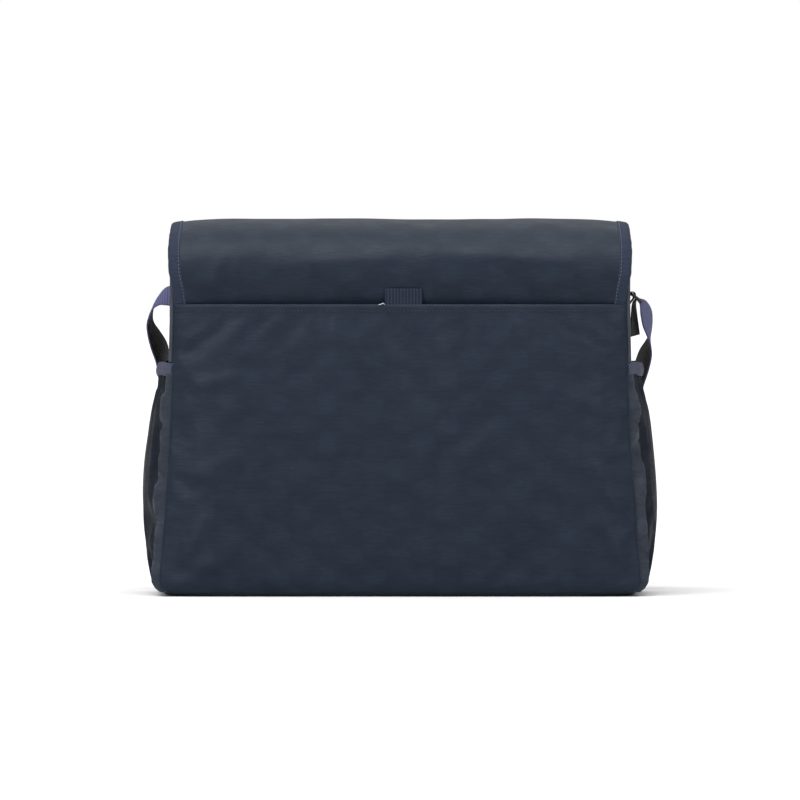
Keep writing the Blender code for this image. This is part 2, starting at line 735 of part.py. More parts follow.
def make_buckle():
    """A slider buckle with two slots, the webbing loop that holds it and the strap's free end."""
    mesh = bpy.data.meshes.new("strap_buckle")
    work = bmesh.new()
    slot_half = BUCKLE_HALF_WIDTH - BUCKLE_BAR
    levels = (-BUCKLE_BAR / 2, BUCKLE_BAR / 2)
    cuts_x = sorted({-BUCKLE_BAR, BUCKLE_LENGTH, *BUCKLE_SLOTS[0], *BUCKLE_SLOTS[1]})
    cuts_y = (-BUCKLE_HALF_WIDTH, -slot_half, slot_half, BUCKLE_HALF_WIDTH)
    grid = {}
    for x in cuts_x:
        for y in cuts_y:
            for z in levels:
                grid[x, y, z] = work.verts.new((x, y, z))

    def is_slot(i, j):
        return j == 1 and (cuts_x[i], cuts_x[i + 1]) in BUCKLE_SLOTS

    def filled(i, j):
        return 0 <= i < len(cuts_x) - 1 and 0 <= j < len(cuts_y) - 1 and not is_slot(i, j)

    low, high = levels
    for i in range(len(cuts_x) - 1):
        for j in range(len(cuts_y) - 1):
            if not filled(i, j):
                continue
            x0, x1, y0, y1 = cuts_x[i], cuts_x[i + 1], cuts_y[j], cuts_y[j + 1]
            for z in levels:
                work.faces.new([grid[x0, y0, z], grid[x1, y0, z], grid[x1, y1, z], grid[x0, y1, z]])
            walls = (
                (filled(i - 1, j), (x0, y0), (x0, y1)),
                (filled(i + 1, j), (x1, y0), (x1, y1)),
                (filled(i, j - 1), (x0, y0), (x1, y0)),
                (filled(i, j + 1), (x0, y1), (x1, y1)),
            )
            for covered, start, end in walls:
                if not covered:
                    work.faces.new([grid[*start, low], grid[*end, low], grid[*end, high], grid[*start, high]])
    bmesh.ops.recalc_face_normals(work, faces=work.faces)
    work.to_mesh(mesh)
    work.free()
    buckle = add_object("strap_buckle", mesh, "black_plastic")
    buckle.location = BUCKLE_IN
    buckle.rotation_euler = (0.0, -BUCKLE_SLOPE, 0.0)

    bar_centre = BUCKLE_IN + Vector((math.cos(BUCKLE_SLOPE), 0, math.sin(BUCKLE_SLOPE))) * (-0.0009)
    stations = []
    for k in range(13):
        angle = LOOP_TURN * (k / 6 - 1)
        outward = Vector((math.cos(angle), 0, math.sin(angle)))
        stations.append((bar_centre + outward * LOOP_RADIUS, Vector((0, 1, 0)), outward))
    ribbon("strap_loop", stations, 2 * slot_half - 0.004, LINING, "strap_webbing")

    across = Vector((0.20, 0.98, 0.0)).normalized()
    face = Vector((0.98, -0.20, 0.0)).normalized()
    stations = []
    for k in range(7):
        drop = FREE_END_TOP + (FREE_END_BOTTOM - FREE_END_TOP) * k / 6
        stations.append((Vector((FREE_END_X, 0.0, STRAP_AXIS_Z - drop)), across, face))
    ribbon("strap_free_end", stations, FREE_END_WIDTH, FREE_END_THICKNESS, "strap_webbing")


def make_inner_pockets():
    """A zip pocket on the lining's back and an open pocket with an elastic top on its front."""
    lining_face = LINING_HALF_DEPTH - LINING
    back = -(lining_face - GAP)
    panel_half = ZIP_HALF_LENGTH + ZIP_PANEL_MARGIN
    panel_top = ZIP_HEIGHT - ZIP_TAPE_HEIGHT - GAP
    block(
        "zip_pocket_panel",
        (-panel_half, back, ZIP_PANEL_BOTTOM),
        (panel_half, back + LINING, panel_top),
        "navy_lining",
    )
    tape_front = back + ZIP_TAPE_THICKNESS
    for name, low, high in (
        ("zip_tape_lower", ZIP_HEIGHT - ZIP_TAPE_HEIGHT, ZIP_HEIGHT - GAP / 2),
        ("zip_tape_upper", ZIP_HEIGHT + GAP / 2, ZIP_HEIGHT + ZIP_TAPE_HEIGHT),
    ):
        block(name, (-ZIP_HALF_LENGTH, back, low), (ZIP_HALF_LENGTH, tape_front, high), "navy_tape")
    slider_back = tape_front + GAP
    slider_front = slider_back + ZIP_SLIDER_THICKNESS
    block(
        "zip_slider",
        (ZIP_SLIDER_X - ZIP_SLIDER_HALF_LENGTH, slider_back, ZIP_HEIGHT - ZIP_SLIDER_HALF_HEIGHT),
        (ZIP_SLIDER_X + ZIP_SLIDER_HALF_LENGTH, slider_front, ZIP_HEIGHT + ZIP_SLIDER_HALF_HEIGHT),
        "snap_metal",
        bevel=0.0006,
    )
    puller_back = slider_front + ZIP_PULLER_GAP
    puller_front = puller_back + ZIP_PULLER_THICKNESS
    block(
        "zip_puller",
        (ZIP_SLIDER_X - ZIP_PULLER_HALF_WIDTH, puller_back, ZIP_HEIGHT - ZIP_PULLER_BELOW),
        (ZIP_SLIDER_X + ZIP_PULLER_HALF_WIDTH, puller_front, ZIP_HEIGHT + ZIP_PULLER_ABOVE),
        "snap_metal",
        bevel=0.0004,
    )

    def point(u, v, depth):
        z = INNER_POCKET_BOTTOM + (INNER_POCKET_HEIGHT - INNER_POCKET_BOTTOM) * v
        side = 2 * u - 1
        reach = (lining_face - GAP - LINING - INNER_POCKET_Y) * (1 - side**8) * min(1.0, v * 5)
        y = lining_face - GAP - LINING - reach
        return Vector((side * INNER_POCKET_HALF_WIDTH, y + depth, z))

    sheet(
        "inner_pocket",
        lambda u, v: point(u, v, 0.0),
        lambda u, v: point(u, v, LINING),
        (12, 6),
        "navy_lining",
    )
    stations = []
    for k in range(17):
        u = k / 16
        centre = point(u, 1.0, LINING / 2) + Vector((0, 0, GAP + INNER_ELASTIC_HEIGHT / 2))
        stations.append((centre, Vector((0, 0, 1)), Vector((0, 1, 0))))
    ribbon("inner_pocket_elastic", stations, INNER_ELASTIC_HEIGHT, INNER_ELASTIC_THICKNESS, "navy_tape")


make_body()
make_flap()
make_back_pocket()
make_front_pocket()
make_side_pockets()
make_strap()
make_inner_pockets()
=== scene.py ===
"""The diaper bag's looks: soft cloth, tape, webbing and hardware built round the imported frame."""

import math

import bpy
import numpy as np
from mathutils import Matrix, Vector, noise


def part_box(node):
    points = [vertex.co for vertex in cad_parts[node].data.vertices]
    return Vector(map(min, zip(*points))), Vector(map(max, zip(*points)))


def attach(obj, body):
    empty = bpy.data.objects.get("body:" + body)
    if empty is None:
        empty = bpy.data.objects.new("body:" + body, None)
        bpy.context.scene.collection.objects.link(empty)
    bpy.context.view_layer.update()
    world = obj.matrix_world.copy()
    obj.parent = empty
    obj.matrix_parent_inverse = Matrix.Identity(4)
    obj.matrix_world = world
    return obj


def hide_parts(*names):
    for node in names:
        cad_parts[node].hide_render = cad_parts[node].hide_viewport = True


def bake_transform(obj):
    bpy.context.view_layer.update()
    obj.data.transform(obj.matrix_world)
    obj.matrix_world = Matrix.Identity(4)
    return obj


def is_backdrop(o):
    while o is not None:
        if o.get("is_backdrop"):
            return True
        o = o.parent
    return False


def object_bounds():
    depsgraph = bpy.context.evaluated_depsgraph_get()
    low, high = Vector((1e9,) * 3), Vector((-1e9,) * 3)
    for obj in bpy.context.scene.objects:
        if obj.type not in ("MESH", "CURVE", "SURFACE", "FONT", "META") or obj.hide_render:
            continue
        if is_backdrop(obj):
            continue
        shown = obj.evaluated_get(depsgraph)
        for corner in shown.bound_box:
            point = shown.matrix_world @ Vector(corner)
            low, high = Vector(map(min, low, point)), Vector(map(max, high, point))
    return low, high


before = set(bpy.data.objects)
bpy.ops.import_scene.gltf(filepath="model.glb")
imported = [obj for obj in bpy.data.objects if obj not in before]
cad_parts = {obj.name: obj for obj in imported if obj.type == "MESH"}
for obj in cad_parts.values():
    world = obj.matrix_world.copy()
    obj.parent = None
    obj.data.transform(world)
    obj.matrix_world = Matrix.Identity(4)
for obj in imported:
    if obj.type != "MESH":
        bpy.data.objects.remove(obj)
CAD_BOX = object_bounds()

# ---------------------------------------------------------------- sizes, in metres
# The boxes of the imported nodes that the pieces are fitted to.
BACK_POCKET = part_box("back_pocket")
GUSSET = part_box("gusset_right")
FLAP_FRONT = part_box("flap_front_binding")
FLAP_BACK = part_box("flap_back_panel")
FLAP_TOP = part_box("flap_top_panel")
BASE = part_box("base_panel")
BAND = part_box("side_pocket_band_right")
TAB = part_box("back_pocket_tab")
ZIP_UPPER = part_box("zip_tape_upper")
ZIP_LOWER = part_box("zip_tape_lower")
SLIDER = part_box("zip_slider")
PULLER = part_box("zip_puller")

# Sizes set here. The outline's are the same as in the part's source, or within a few millimetres of them.
TOP_HALF_WIDTH = 0.186
BASE_HALF_WIDTH = 0.199
TAPER_HEIGHT = BACK_POCKET[1][2]
TAPER_POWER = 1.6
MOUTH_HEIGHT = GUSSET[1][2]
PANEL_FACE_Y = 0.0615
PANEL_BOTTOM = 0.0030
PANEL_THICKNESS = 0.0026
POCKET_EDGE_Y = 0.0660
CLOTH = 0.0012
LINING = 0.0008
EDGE_ROUNDING = 0.45
SIDES = (("left", -1), ("right", 1))

FLAP_PEAK = FLAP_TOP[1][2]
FLAP_ROOT_HEIGHT = FLAP_BACK[0][2]
FLAP_SPRING_HEIGHT = 0.255
FLAP_ROOT_Y = 0.0632
FLAP_BACK_REACH = 0.0712
FLAP_BULGE_HEIGHT = 0.266
FLAP_FRONT_REACH = FLAP_FRONT[1][1]
FLAP_END_HEIGHT = FLAP_FRONT[0][2]
FLAP_ARCH_POWER = 2.6
FLAP_BACK_ARCH_POWER = 2.3
FLAP_CORNER_RADIUS = 0.030
FLAP_HALF_WIDTH = 0.1885
BINDING_WIDTH = 0.0095
BINDING_THICKNESS = 0.0028

SIDE_POCKET_TOP = BAND[0][2]
SIDE_POCKET_BOTTOM = 0.0032
SIDE_POCKET_BELLY = 0.0188
SIDE_HALF_DEPTH = 0.0600
BAND_REACH = 0.0129
BAND_WIDTH = 0.0114
BAND_THICKNESS = 0.0022
SIDE_FOLD_AT = 0.925
SIDE_FOLD_RISE = 0.0048
SIDE_FOLD_DIP = 0.0036
SIDE_HEM_TUCK = 0.0046
# Depth along y past which the side pocket's cloth takes the lighter copy of its satin, a painted highlight.
SIDE_HIGHLIGHT_Y = 0.0515
SIDE_SEEDS = (0.0, 9.0)
STRAP_WIDTH = 0.038
STRAP_THICKNESS = 0.0016
STRAP_AXIS_Z = 0.2475
BUCKLE_IN = Vector((0.1937, 0.0, STRAP_AXIS_Z))
BUCKLE_SLOPE = math.radians(38)
BUCKLE_LENGTH = 0.0095
BUCKLE_BAR = 0.0022
BUCKLE_SLOTS = ((0.0004, 0.0028), (0.0050, 0.0074))
BUCKLE_EDGE = 0.0005
LOOP_RADIUS = 0.0022
LOOP_WIDTH = 0.0366
LOOP_START = math.radians(-40)
LOOP_END = math.radians(185)
LOOP_THICKNESS = 0.0009
TAIL_WIDTH = 0.031
TAIL_THICKNESS = 0.0014
TOOTH_PITCH = 0.0016


# ---------------------------------------------------------------- camera, light and floor
VIEW_WIDTH = 0.6584
AIM = Vector((0.0, -0.066, 0.1617))
CAMERA_DISTANCE = 7.0
CAMERA_ELEVATION = math.radians(1.0)
SENSOR_MM = 36.0
SKY_LEVEL = 0.22
SKY_ABOVE = 1.42
SKY_SIDES = 0.08
SKY_BEHIND = -0.20
OVERHEAD_ENERGY = 2.3
OVERHEAD_SPREAD = math.radians(50)
OVERHEAD_DIRECTION = Vector((0.22, 0.45, -1.0))
SOFTBOX_SIZE = (0.8, 1.2)
LEFT_SOFTBOX_POWER = 18.0
RIGHT_SOFTBOX_POWER = 13.0
FLOOR_REACH = 30.0
FLOOR_DROP = 0.0004
FLOOR_WHITE = 0.68


def make_camera():
    data = bpy.data.cameras.new("camera")
    data.sensor_width = SENSOR_MM
    data.lens = SENSOR_MM * CAMERA_DISTANCE / VIEW_WIDTH
    camera = bpy.data.objects.new("camera", data)
    back = Vector((0.0, -math.cos(CAMERA_ELEVATION), math.sin(CAMERA_ELEVATION)))
    camera.location = AIM + back * CAMERA_DISTANCE
    camera.rotation_euler = (math.radians(90) - CAMERA_ELEVATION, 0.0, 0.0)
    bpy.context.scene.collection.objects.link(camera)
    bpy.context.scene.camera = camera


def make_area_light(name, place, aim, size, power):
    data = bpy.data.lights.new(name, "AREA")
    data.shape = "RECTANGLE"
    data.size, data.size_y = size
    data.energy = power
    light = bpy.data.objects.new(name, data)
    light.location = place
    light.rotation_euler = (Vector(aim) - Vector(place)).to_track_quat("-Z", "Y").to_euler()
    bpy.context.scene.collection.objects.link(light)


def make_world():
    """A white room for the camera. The bag is lit mostly from above, and least from the side behind it."""
    world = bpy.data.worlds.new("studio")
    nodes = Nodes(world)
    split = nodes.add("ShaderNodeSeparateXYZ")
    nodes.link(nodes.add("ShaderNodeTexCoord").outputs["Generated"], split.inputs["Vector"])
    height = nodes.math("MAXIMUM", split.outputs["Z"], 0.0)
    sides = nodes.math("POWER", nodes.math("ABSOLUTE", split.outputs["X"]), 2.0)
    behind = nodes.math("MAXIMUM", split.outputs["Y"], 0.0)
    level = nodes.plus(nodes.times(height, SKY_ABOVE), nodes.times(sides, SKY_SIDES))
    level = nodes.plus(level, nodes.times(behind, SKY_BEHIND))
    level = nodes.plus(level, SKY_LEVEL)
    seen = nodes.add("ShaderNodeLightPath").outputs["Is Camera Ray"]
    background = nodes.tree.nodes["Background"]
    nodes.link(nodes.math("MAXIMUM", level, seen), background.inputs["Strength"])
    background.inputs["Color"].default_value = (1.0, 1.0, 1.0, 1.0)
    bpy.context.scene.world = world


def make_overhead_light():
    data = bpy.data.lights.new("overhead_bank", "SUN")
    data.energy = OVERHEAD_ENERGY
    data.angle = OVERHEAD_SPREAD
    light = bpy.data.objects.new("overhead_bank", data)
    light.rotation_euler = OVERHEAD_DIRECTION.to_track_quat("-Z", "Y").to_euler()
    bpy.context.scene.collection.objects.link(light)


def make_floor():
    mesh = bpy.data.meshes.new("studio_floor")
    corners = [(x * FLOOR_REACH, y * FLOOR_REACH, 0.0) for x, y in ((-1, -1), (1, -1), (1, 1), (-1, 1))]
    mesh.from_pydata(corners, [], [(0, 1, 2, 3)])
    mesh.materials.append(plain_material("floor_white", (FLOOR_WHITE, FLOOR_WHITE, FLOOR_WHITE), 0.9))
    floor = bpy.data.objects.new("studio_floor", mesh)
    floor.location.z = -FLOOR_DROP
    bpy.context.scene.collection.objects.link(floor)
    floor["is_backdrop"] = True


def make_studio():
    bpy.context.scene.view_settings.view_transform = "Standard"
    make_world()
    make_overhead_light()
    make_area_light("left_softbox", (-1.3, -2.3, 0.9), (-0.1, 0.0, 0.16), SOFTBOX_SIZE, LEFT_SOFTBOX_POWER)
    make_area_light("right_softbox", (1.3, -2.3, 0.9), (0.1, 0.0, 0.16), SOFTBOX_SIZE, RIGHT_SOFTBOX_POWER)
    make_floor()


# ---------------------------------------------------------------- materials
FIGURE_PITCH_U = 0.040
FIGURE_PITCH_V = 0.036
YARN_PITCH = 0.0011


class Nodes:
    """A short way to write the nodes of a material or of the world."""

    def __init__(self, owner):
        owner.use_nodes = True
        self.owner = owner
        self.tree = owner.node_tree
        self.shader = self.tree.nodes.get("Principled BSDF")

    def add(self, kind, **settings):
        node = self.tree.nodes.new(kind)
        for key, value in settings.items():
            setattr(node, key, value)
        return node

    def link(self, source, target):
        self.tree.links.new(source, target)

    def put(self, socket, value):
        if isinstance(value, bpy.types.NodeSocket):
            self.link(value, socket)
        else:
            socket.default_value = value

    def math(self, operation, first, second=0.0):
        node = self.add("ShaderNodeMath", operation=operation)
        self.put(node.inputs[0], first)
        self.put(node.inputs[1], second)
        return node.outputs[0]

    def plus(self, first, second):
        return self.math("ADD", first, second)

    def times(self, first, second):
        return self.math("MULTIPLY", first, second)

    def wave(self, along, pitch):
        """A sine of the given pitch, from -1 to 1."""
        return self.math("SINE", self.plus(self.times(along, 2 * math.pi / pitch), 0.0))

    def noise(self, vector, scale, detail=3.0, roughness=0.55):
        node = self.add("ShaderNodeTexNoise")
        self.link(vector, node.inputs["Vector"])
        node.inputs["Scale"].default_value = scale
        node.inputs["Detail"].default_value = detail
        node.inputs["Roughness"].default_value = roughness
        return node.outputs["Fac"]

    def streaked_noise(self, vector, scale_u, scale_v, roughness=0.55):
        """Noise drawn out along the cloth, with a scale of its own in each direction."""
        mapping = self.add("ShaderNodeMapping")
        self.link(vector, mapping.inputs["Vector"])
        mapping.inputs["Scale"].default_value = (scale_u, scale_v, 1.0)
        return self.noise(mapping.outputs["Vector"], 1.0, detail=4.0, roughness=roughness)

    def ramp(self, value, low, high):
        node = self.add("ShaderNodeMapRange")
        self.put(node.inputs["Value"], value)
        node.inputs["From Min"].default_value = low
        node.inputs["From Max"].default_value = high
        return node.outputs["Result"]

    def mix(self, share, first, second):
        node = self.add("ShaderNodeMix", data_type="RGBA")
        self.put(node.inputs["Factor"], share)
        node.inputs[6].default_value = (*first, 1.0)
        node.inputs[7].default_value = (*second, 1.0)
        return node.outputs[2]

    def bump(self, height, distance, strength=1.0):
        node = self.add("ShaderNodeBump")
        node.inputs["Distance"].default_value = distance
        node.inputs["Strength"].default_value = strength
        self.link(height, node.inputs["Height"])
        self.link(node.outputs["Normal"], self.shader.inputs["Normal"])

    def cloth_axes(self):
        """The cloth's own directions in metres, from its UV map, and the vector for noise."""
        uv = self.add("ShaderNodeUVMap", uv_map="cloth")
        split = self.add("ShaderNodeSeparateXYZ")
        self.link(uv.outputs["UV"], split.inputs["Vector"])
        return split.outputs["X"], split.outputs["Y"], uv.outputs["UV"]

    def finish(self, roughness, sheen=0.0, specular=0.5, coat=0.0):
        self.put(self.shader.inputs["Roughness"], roughness)
        self.shader.inputs["Sheen Weight"].default_value = sheen
        self.shader.inputs["Sheen Roughness"].default_value = 0.4
        self.shader.inputs["Specular IOR Level"].default_value = specular
        self.shader.inputs["Coat Weight"].default_value = coat
        return self.owner


def plain_material(name, colour, roughness):
    nodes = Nodes(bpy.data.materials.new(name))
    coordinates = nodes.add("ShaderNodeTexCoord").outputs["Object"]
    share = nodes.noise(coordinates, 3.0)
    tint = nodes.mix(share, colour, tuple(0.985 * c for c in colour))
    nodes.link(tint, nodes.shader.inputs["Base Color"])
    return nodes.finish(roughness, specular=0.2)


def jacquard_material(name, ground, figure, gloss=0.16):
    """Satin cloth with a faint tone-on-tone figure in staggered rows, broken up by streaks along the weft."""
    nodes = Nodes(bpy.data.materials.new(name))
    u, v, uv = nodes.cloth_axes()
    drift = nodes.times(nodes.noise(uv, 60.0), 0.022)
    across = nodes.plus(u, drift)
    along = nodes.plus(v, nodes.times(nodes.noise(uv, 75.0), 0.012))
    lozenge = nodes.times(nodes.wave(across, FIGURE_PITCH_U), nodes.wave(along, FIGURE_PITCH_V))
    figure_mask = nodes.ramp(lozenge, 0.05, 0.55)
    streak = nodes.ramp(nodes.streaked_noise(uv, 95.0, 520.0), 0.34, 0.66)
    broad = nodes.ramp(nodes.streaked_noise(uv, 26.0, 60.0, roughness=0.65), 0.36, 0.64)
    broken = nodes.times(figure_mask, nodes.plus(nodes.times(streak, 0.6), 0.4))
    share = nodes.plus(nodes.times(broken, 0.34), nodes.times(broad, 0.42))
    share = nodes.plus(share, nodes.times(streak, 0.30))
    nodes.link(nodes.mix(share, ground, figure), nodes.shader.inputs["Base Color"])
    weave = nodes.times(nodes.wave(u, YARN_PITCH), nodes.wave(v, YARN_PITCH))
    height = nodes.plus(nodes.times(weave, 0.30), nodes.times(broken, 0.4))
    height = nodes.plus(height, nodes.times(streak, 0.6))
    nodes.bump(height, 0.00014, 0.7)
    rough = nodes.math("SUBTRACT", 0.46, nodes.times(share, 0.12))
    return nodes.finish(rough, sheen=0.01, specular=gloss)


def woven_material(name, ground, light, pitch, roughness, sheen=0.1):
    """Plain woven cloth, such as the lining."""
    nodes = Nodes(bpy.data.materials.new(name))
    u, v, uv = nodes.cloth_axes()
    weave = nodes.times(nodes.wave(u, pitch), nodes.wave(v, pitch))
    broad = nodes.noise(uv, 14.0)
    # The colour follows the weave's height: painted shade where the threads dip and painted highlight where
    # they rise, with random broad tone.
    share = nodes.plus(nodes.ramp(weave, -1.6, 2.4), nodes.times(broad, 0.3))
    nodes.link(nodes.mix(share, ground, light), nodes.shader.inputs["Base Color"])
    nodes.bump(weave, 0.00015, 0.5)
    return nodes.finish(roughness, sheen=sheen, specular=0.3)


def tape_material(name, ground, light, rib, roughness=0.62):
    """Ribbed tape or webbing: u runs along it and v across it."""
    nodes = Nodes(bpy.data.materials.new(name))
    u, v, uv = nodes.cloth_axes()
    ribs = nodes.wave(u, rib)
    threads = nodes.wave(v, rib * 0.55)
    mottle = nodes.noise(uv, 260.0, detail=2.0)
    height = nodes.plus(ribs, nodes.times(threads, 0.35))
    # The colour follows the rib height: darker grooves are painted shade and lighter crests painted
    # highlight; the mottle is random tone.
    share = nodes.plus(nodes.ramp(height, -1.3, 1.6), nodes.times(mottle, 0.25))
    nodes.link(nodes.mix(share, ground, light), nodes.shader.inputs["Base Color"])
    nodes.bump(height, 0.00022, 0.8)
    return nodes.finish(roughness, sheen=0.015, specular=0.12)


def hard_material(name, colour, roughness, metallic, grain):
    """Moulded plastic or plated metal, with a fine grain and a little wear."""
    nodes = Nodes(bpy.data.materials.new(name))
    coordinates = nodes.add("ShaderNodeTexCoord").outputs["Object"]
    fine = nodes.noise(coordinates, grain)
    broad = nodes.noise(coordinates, 120.0)
    light = tuple(min(1.0, c * 1.25 + 0.004) for c in colour)
    nodes.link(nodes.mix(broad, colour, light), nodes.shader.inputs["Base Color"])
    nodes.shader.inputs["Metallic"].default_value = metallic
    nodes.bump(fine, 0.00006, 0.6)
    rough = nodes.plus(roughness - 0.05, nodes.times(broad, 0.10))
    return nodes.finish(rough, specular=0.5)


NAVY = jacquard_material("navy_jacquard", (0.0036, 0.0080, 0.0170), (0.0088, 0.0158, 0.0280))
NAVY_PLAIN = jacquard_material("navy_satin", (0.0045, 0.0080, 0.0145), (0.0100, 0.0145, 0.0230))
POCKET_CLOTH = jacquard_material(
    "side_pocket_satin", (0.0080, 0.0100, 0.0145), (0.0155, 0.0185, 0.0255), gloss=0.02
)
# The side pocket's satin painted about twice as light: painted highlight on the strip of each side pocket
# nearest its seams.
POCKET_PAINTED_HIGHLIGHT = jacquard_material(
    "side_pocket_painted_highlight", (0.0140, 0.0185, 0.0270), (0.0290, 0.0355, 0.0490), gloss=0.12
)
# Piping satin painted about twice as light as the navy: a painted highlight for the light that the rounded
# seam catches.
PIPING_PAINTED_HIGHLIGHT = jacquard_material("seam_piping_painted_highlight", (0.022, 0.026, 0.037), (0.044, 0.049, 0.064))
LINING_CLOTH = woven_material("lining_weave", (0.085, 0.100, 0.135), (0.120, 0.138, 0.178), 0.0012, 0.75)
TAPE = tape_material("binding_twill", (0.0105, 0.0160, 0.0310), (0.0220, 0.0310, 0.0550), 0.0011)
BAND_TAPE = tape_material("elastic_band", (0.026, 0.030, 0.052), (0.056, 0.062, 0.098), 0.0018)
WEBBING = tape_material("violet_webbing", (0.034, 0.036, 0.090), (0.078, 0.080, 0.175), 0.0022)
BLACK_WEBBING = tape_material("black_webbing", (0.0015, 0.0015, 0.0018), (0.0048, 0.0046, 0.0048), 0.0022)
# The tab's strong rib contrast is mostly painted shade in the grooves and painted highlight on the crests.
TAB_WEBBING = tape_material("ribbed_tab", (0.0022, 0.0045, 0.0100), (0.0165, 0.0250, 0.0430), 0.00277)
THREAD = hard_material("navy_thread", (0.0035, 0.0050, 0.0100), 0.7, 0.0, 2500.0)
# Paler thread for the flap bindings: a painted highlight for the bright line of the puckered stitching.
BINDING_THREAD = hard_material("binding_thread", (0.050, 0.058, 0.082), 0.7, 0.0, 2500.0)
PALE_THREAD = hard_material("loose_thread", (0.45, 0.45, 0.46), 0.7, 0.0, 2500.0)
PLASTIC = hard_material("black_acetal", (0.012, 0.012, 0.013), 0.38, 0.0, 1800.0)
METAL = hard_material("nickel_plate", (0.46, 0.46, 0.47), 0.28, 1.0, 900.0)
BOARD = hard_material("stiffener_board", (0.030, 0.030, 0.032), 0.65, 0.0, 700.0)


# ---------------------------------------------------------------- mesh helpers
def link_mesh(name, points, faces, uvs, materials, face_materials=None, smooth_angle=50.0):
    mesh = bpy.data.meshes.new(name)
    mesh.from_pydata([tuple(p) for p in points], [], faces)
    if uvs is not None:
        layer = mesh.uv_layers.new(name="cloth")
        index = np.empty(len(mesh.loops), np.int32)
        mesh.loops.foreach_get("vertex_index", index)
        layer.data.foreach_set("uv", np.asarray(uvs, np.float32)[index].ravel())
    for material in materials:
        mesh.materials.append(material)
    if face_materials is not None:
        mesh.polygons.foreach_set("material_index", np.asarray(face_materials, np.int32))
    mesh.shade_smooth()
    mesh.set_sharp_from_angle(angle=math.radians(smooth_angle))
    mesh.update()
    obj = bpy.data.objects.new(name, mesh)
    bpy.context.scene.collection.objects.link(obj)
    return obj


def surface_normals(grid):
    along_u = np.gradient(grid, axis=1)
    along_v = np.gradient(grid, axis=0)
    normal = np.cross(along_u, along_v)
    length = np.linalg.norm(normal, axis=2, keepdims=True)
    return normal / np.maximum(length, 1e-12)


def metric_uv(grid):
    """A UV map in metres that follows the cloth along both of its directions."""
    step_u = np.linalg.norm(np.diff(grid, axis=1), axis=2)
    step_v = np.linalg.norm(np.diff(grid, axis=0), axis=2)
    rows, columns = grid.shape[:2]
    u = np.zeros((rows, columns))
    v = np.zeros((rows, columns))
    u[:, 1:] = np.cumsum(step_u, axis=1)
    u -= u[:, columns // 2 : columns // 2 + 1]
    v[1:, :] = np.cumsum(step_v, axis=0)
    v[:] = v[:, columns // 2 : columns // 2 + 1]
    return np.stack([u, v], axis=2)


def grid_faces(rows, columns):
    """The quads of a grid of points, as rows of four indices."""
    index = np.arange(rows * columns).reshape(rows, columns)
    corners = (index[:-1, :-1], index[:-1, 1:], index[1:, 1:], index[1:, :-1])
    return index, np.stack(corners, axis=2).reshape(-1, 4)


def rim_directions(outer, normal, rim):
    """For each point of a sheet's rim, the direction that points away from the sheet in its own plane."""
    outward = np.zeros((len(rim), 3))
    for k, here in enumerate(rim):
        ahead = outer[rim[(k + 1) % len(rim)]] - outer[rim[k - 1]]
        side = np.cross(ahead, normal[here])
        length = np.linalg.norm(side)
        outward[k] = side / length if length > 1e-9 else 0.0
    if ((outer[rim] - outer.mean(axis=0)) * outward).sum() < 0:
        outward = -outward
    return outward


def thick_sheet(name, grid, thickness, facing, materials, flat_ends=()):
    """A closed sheet of cloth. grid holds rows of points on its outer face, which looks along facing."""
    normal = surface_normals(grid)
    if (normal.reshape(-1, 3) @ np.asarray(facing, float)).mean() < 0:
        grid = grid[:, ::-1]
        normal = surface_normals(grid)
    rows, columns = grid.shape[:2]
    count = rows * columns
    outer = grid.reshape(-1, 3)
    inner = (grid - normal * thickness).reshape(-1, 3)
    uv = metric_uv(grid).reshape(-1, 2)
    index, quads = grid_faces(rows, columns)
    rim = index[0, :].tolist() + index[1:, -1].tolist()
    rim += index[-1, -2::-1].tolist() + index[-2:0:-1, 0].tolist()
    outward = rim_directions(outer, normal.reshape(-1, 3), rim)
    row_of = np.array(rim) // columns
    for end in flat_ends:
        outward[row_of == (0 if end == "start" else rows - 1)] = 0.0
    middle = (outer[rim] + inner[rim]) / 2 + outward * thickness * EDGE_ROUNDING
    faces = quads.tolist() + (quads[:, ::-1] + count).tolist()
    for k, here in enumerate(rim):
        turn = (k + 1) % len(rim)
        there = rim[turn]
        faces.append((there, here, 2 * count + k, 2 * count + turn))
        faces.append((2 * count + turn, 2 * count + k, count + here, count + there))
    points = np.concatenate([outer, inner, middle])
    return link_mesh(name, points, faces, np.concatenate([uv, uv, uv[rim]]), materials)


def skin(rings, sides, closed=False, caps=True):
    """The faces of a surface through rings that hold this many points each."""
    faces = []
    for k in range(rings if closed else rings - 1):
        near, far = sides * k, sides * ((k + 1) % rings)
        for side in range(sides):
            turn = (side + 1) % sides
            faces.append((near + side, near + turn, far + turn, far + side))
    if caps and not closed:
        faces.append(tuple(range(sides - 1, -1, -1)))
        faces.append(tuple(sides * (rings - 1) + side for side in range(sides)))
    return faces


def flipped(faces):
    return [tuple(reversed(face)) for face in faces]


def signed_power(value, power):
    return math.copysign(abs(value) ** power, value)


def direction_at(path, k):
    return (path[min(k + 1, len(path) - 1)] - path[max(k - 1, 0)]).normalized()


def declare(piece, body, slot, *nodes):
    """Says which body carries the piece and which CAD nodes it stands for, and hides those nodes; slot, what
    it is made of, is not used.
    """
    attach(piece, body)
    if nodes:
        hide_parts(*nodes)


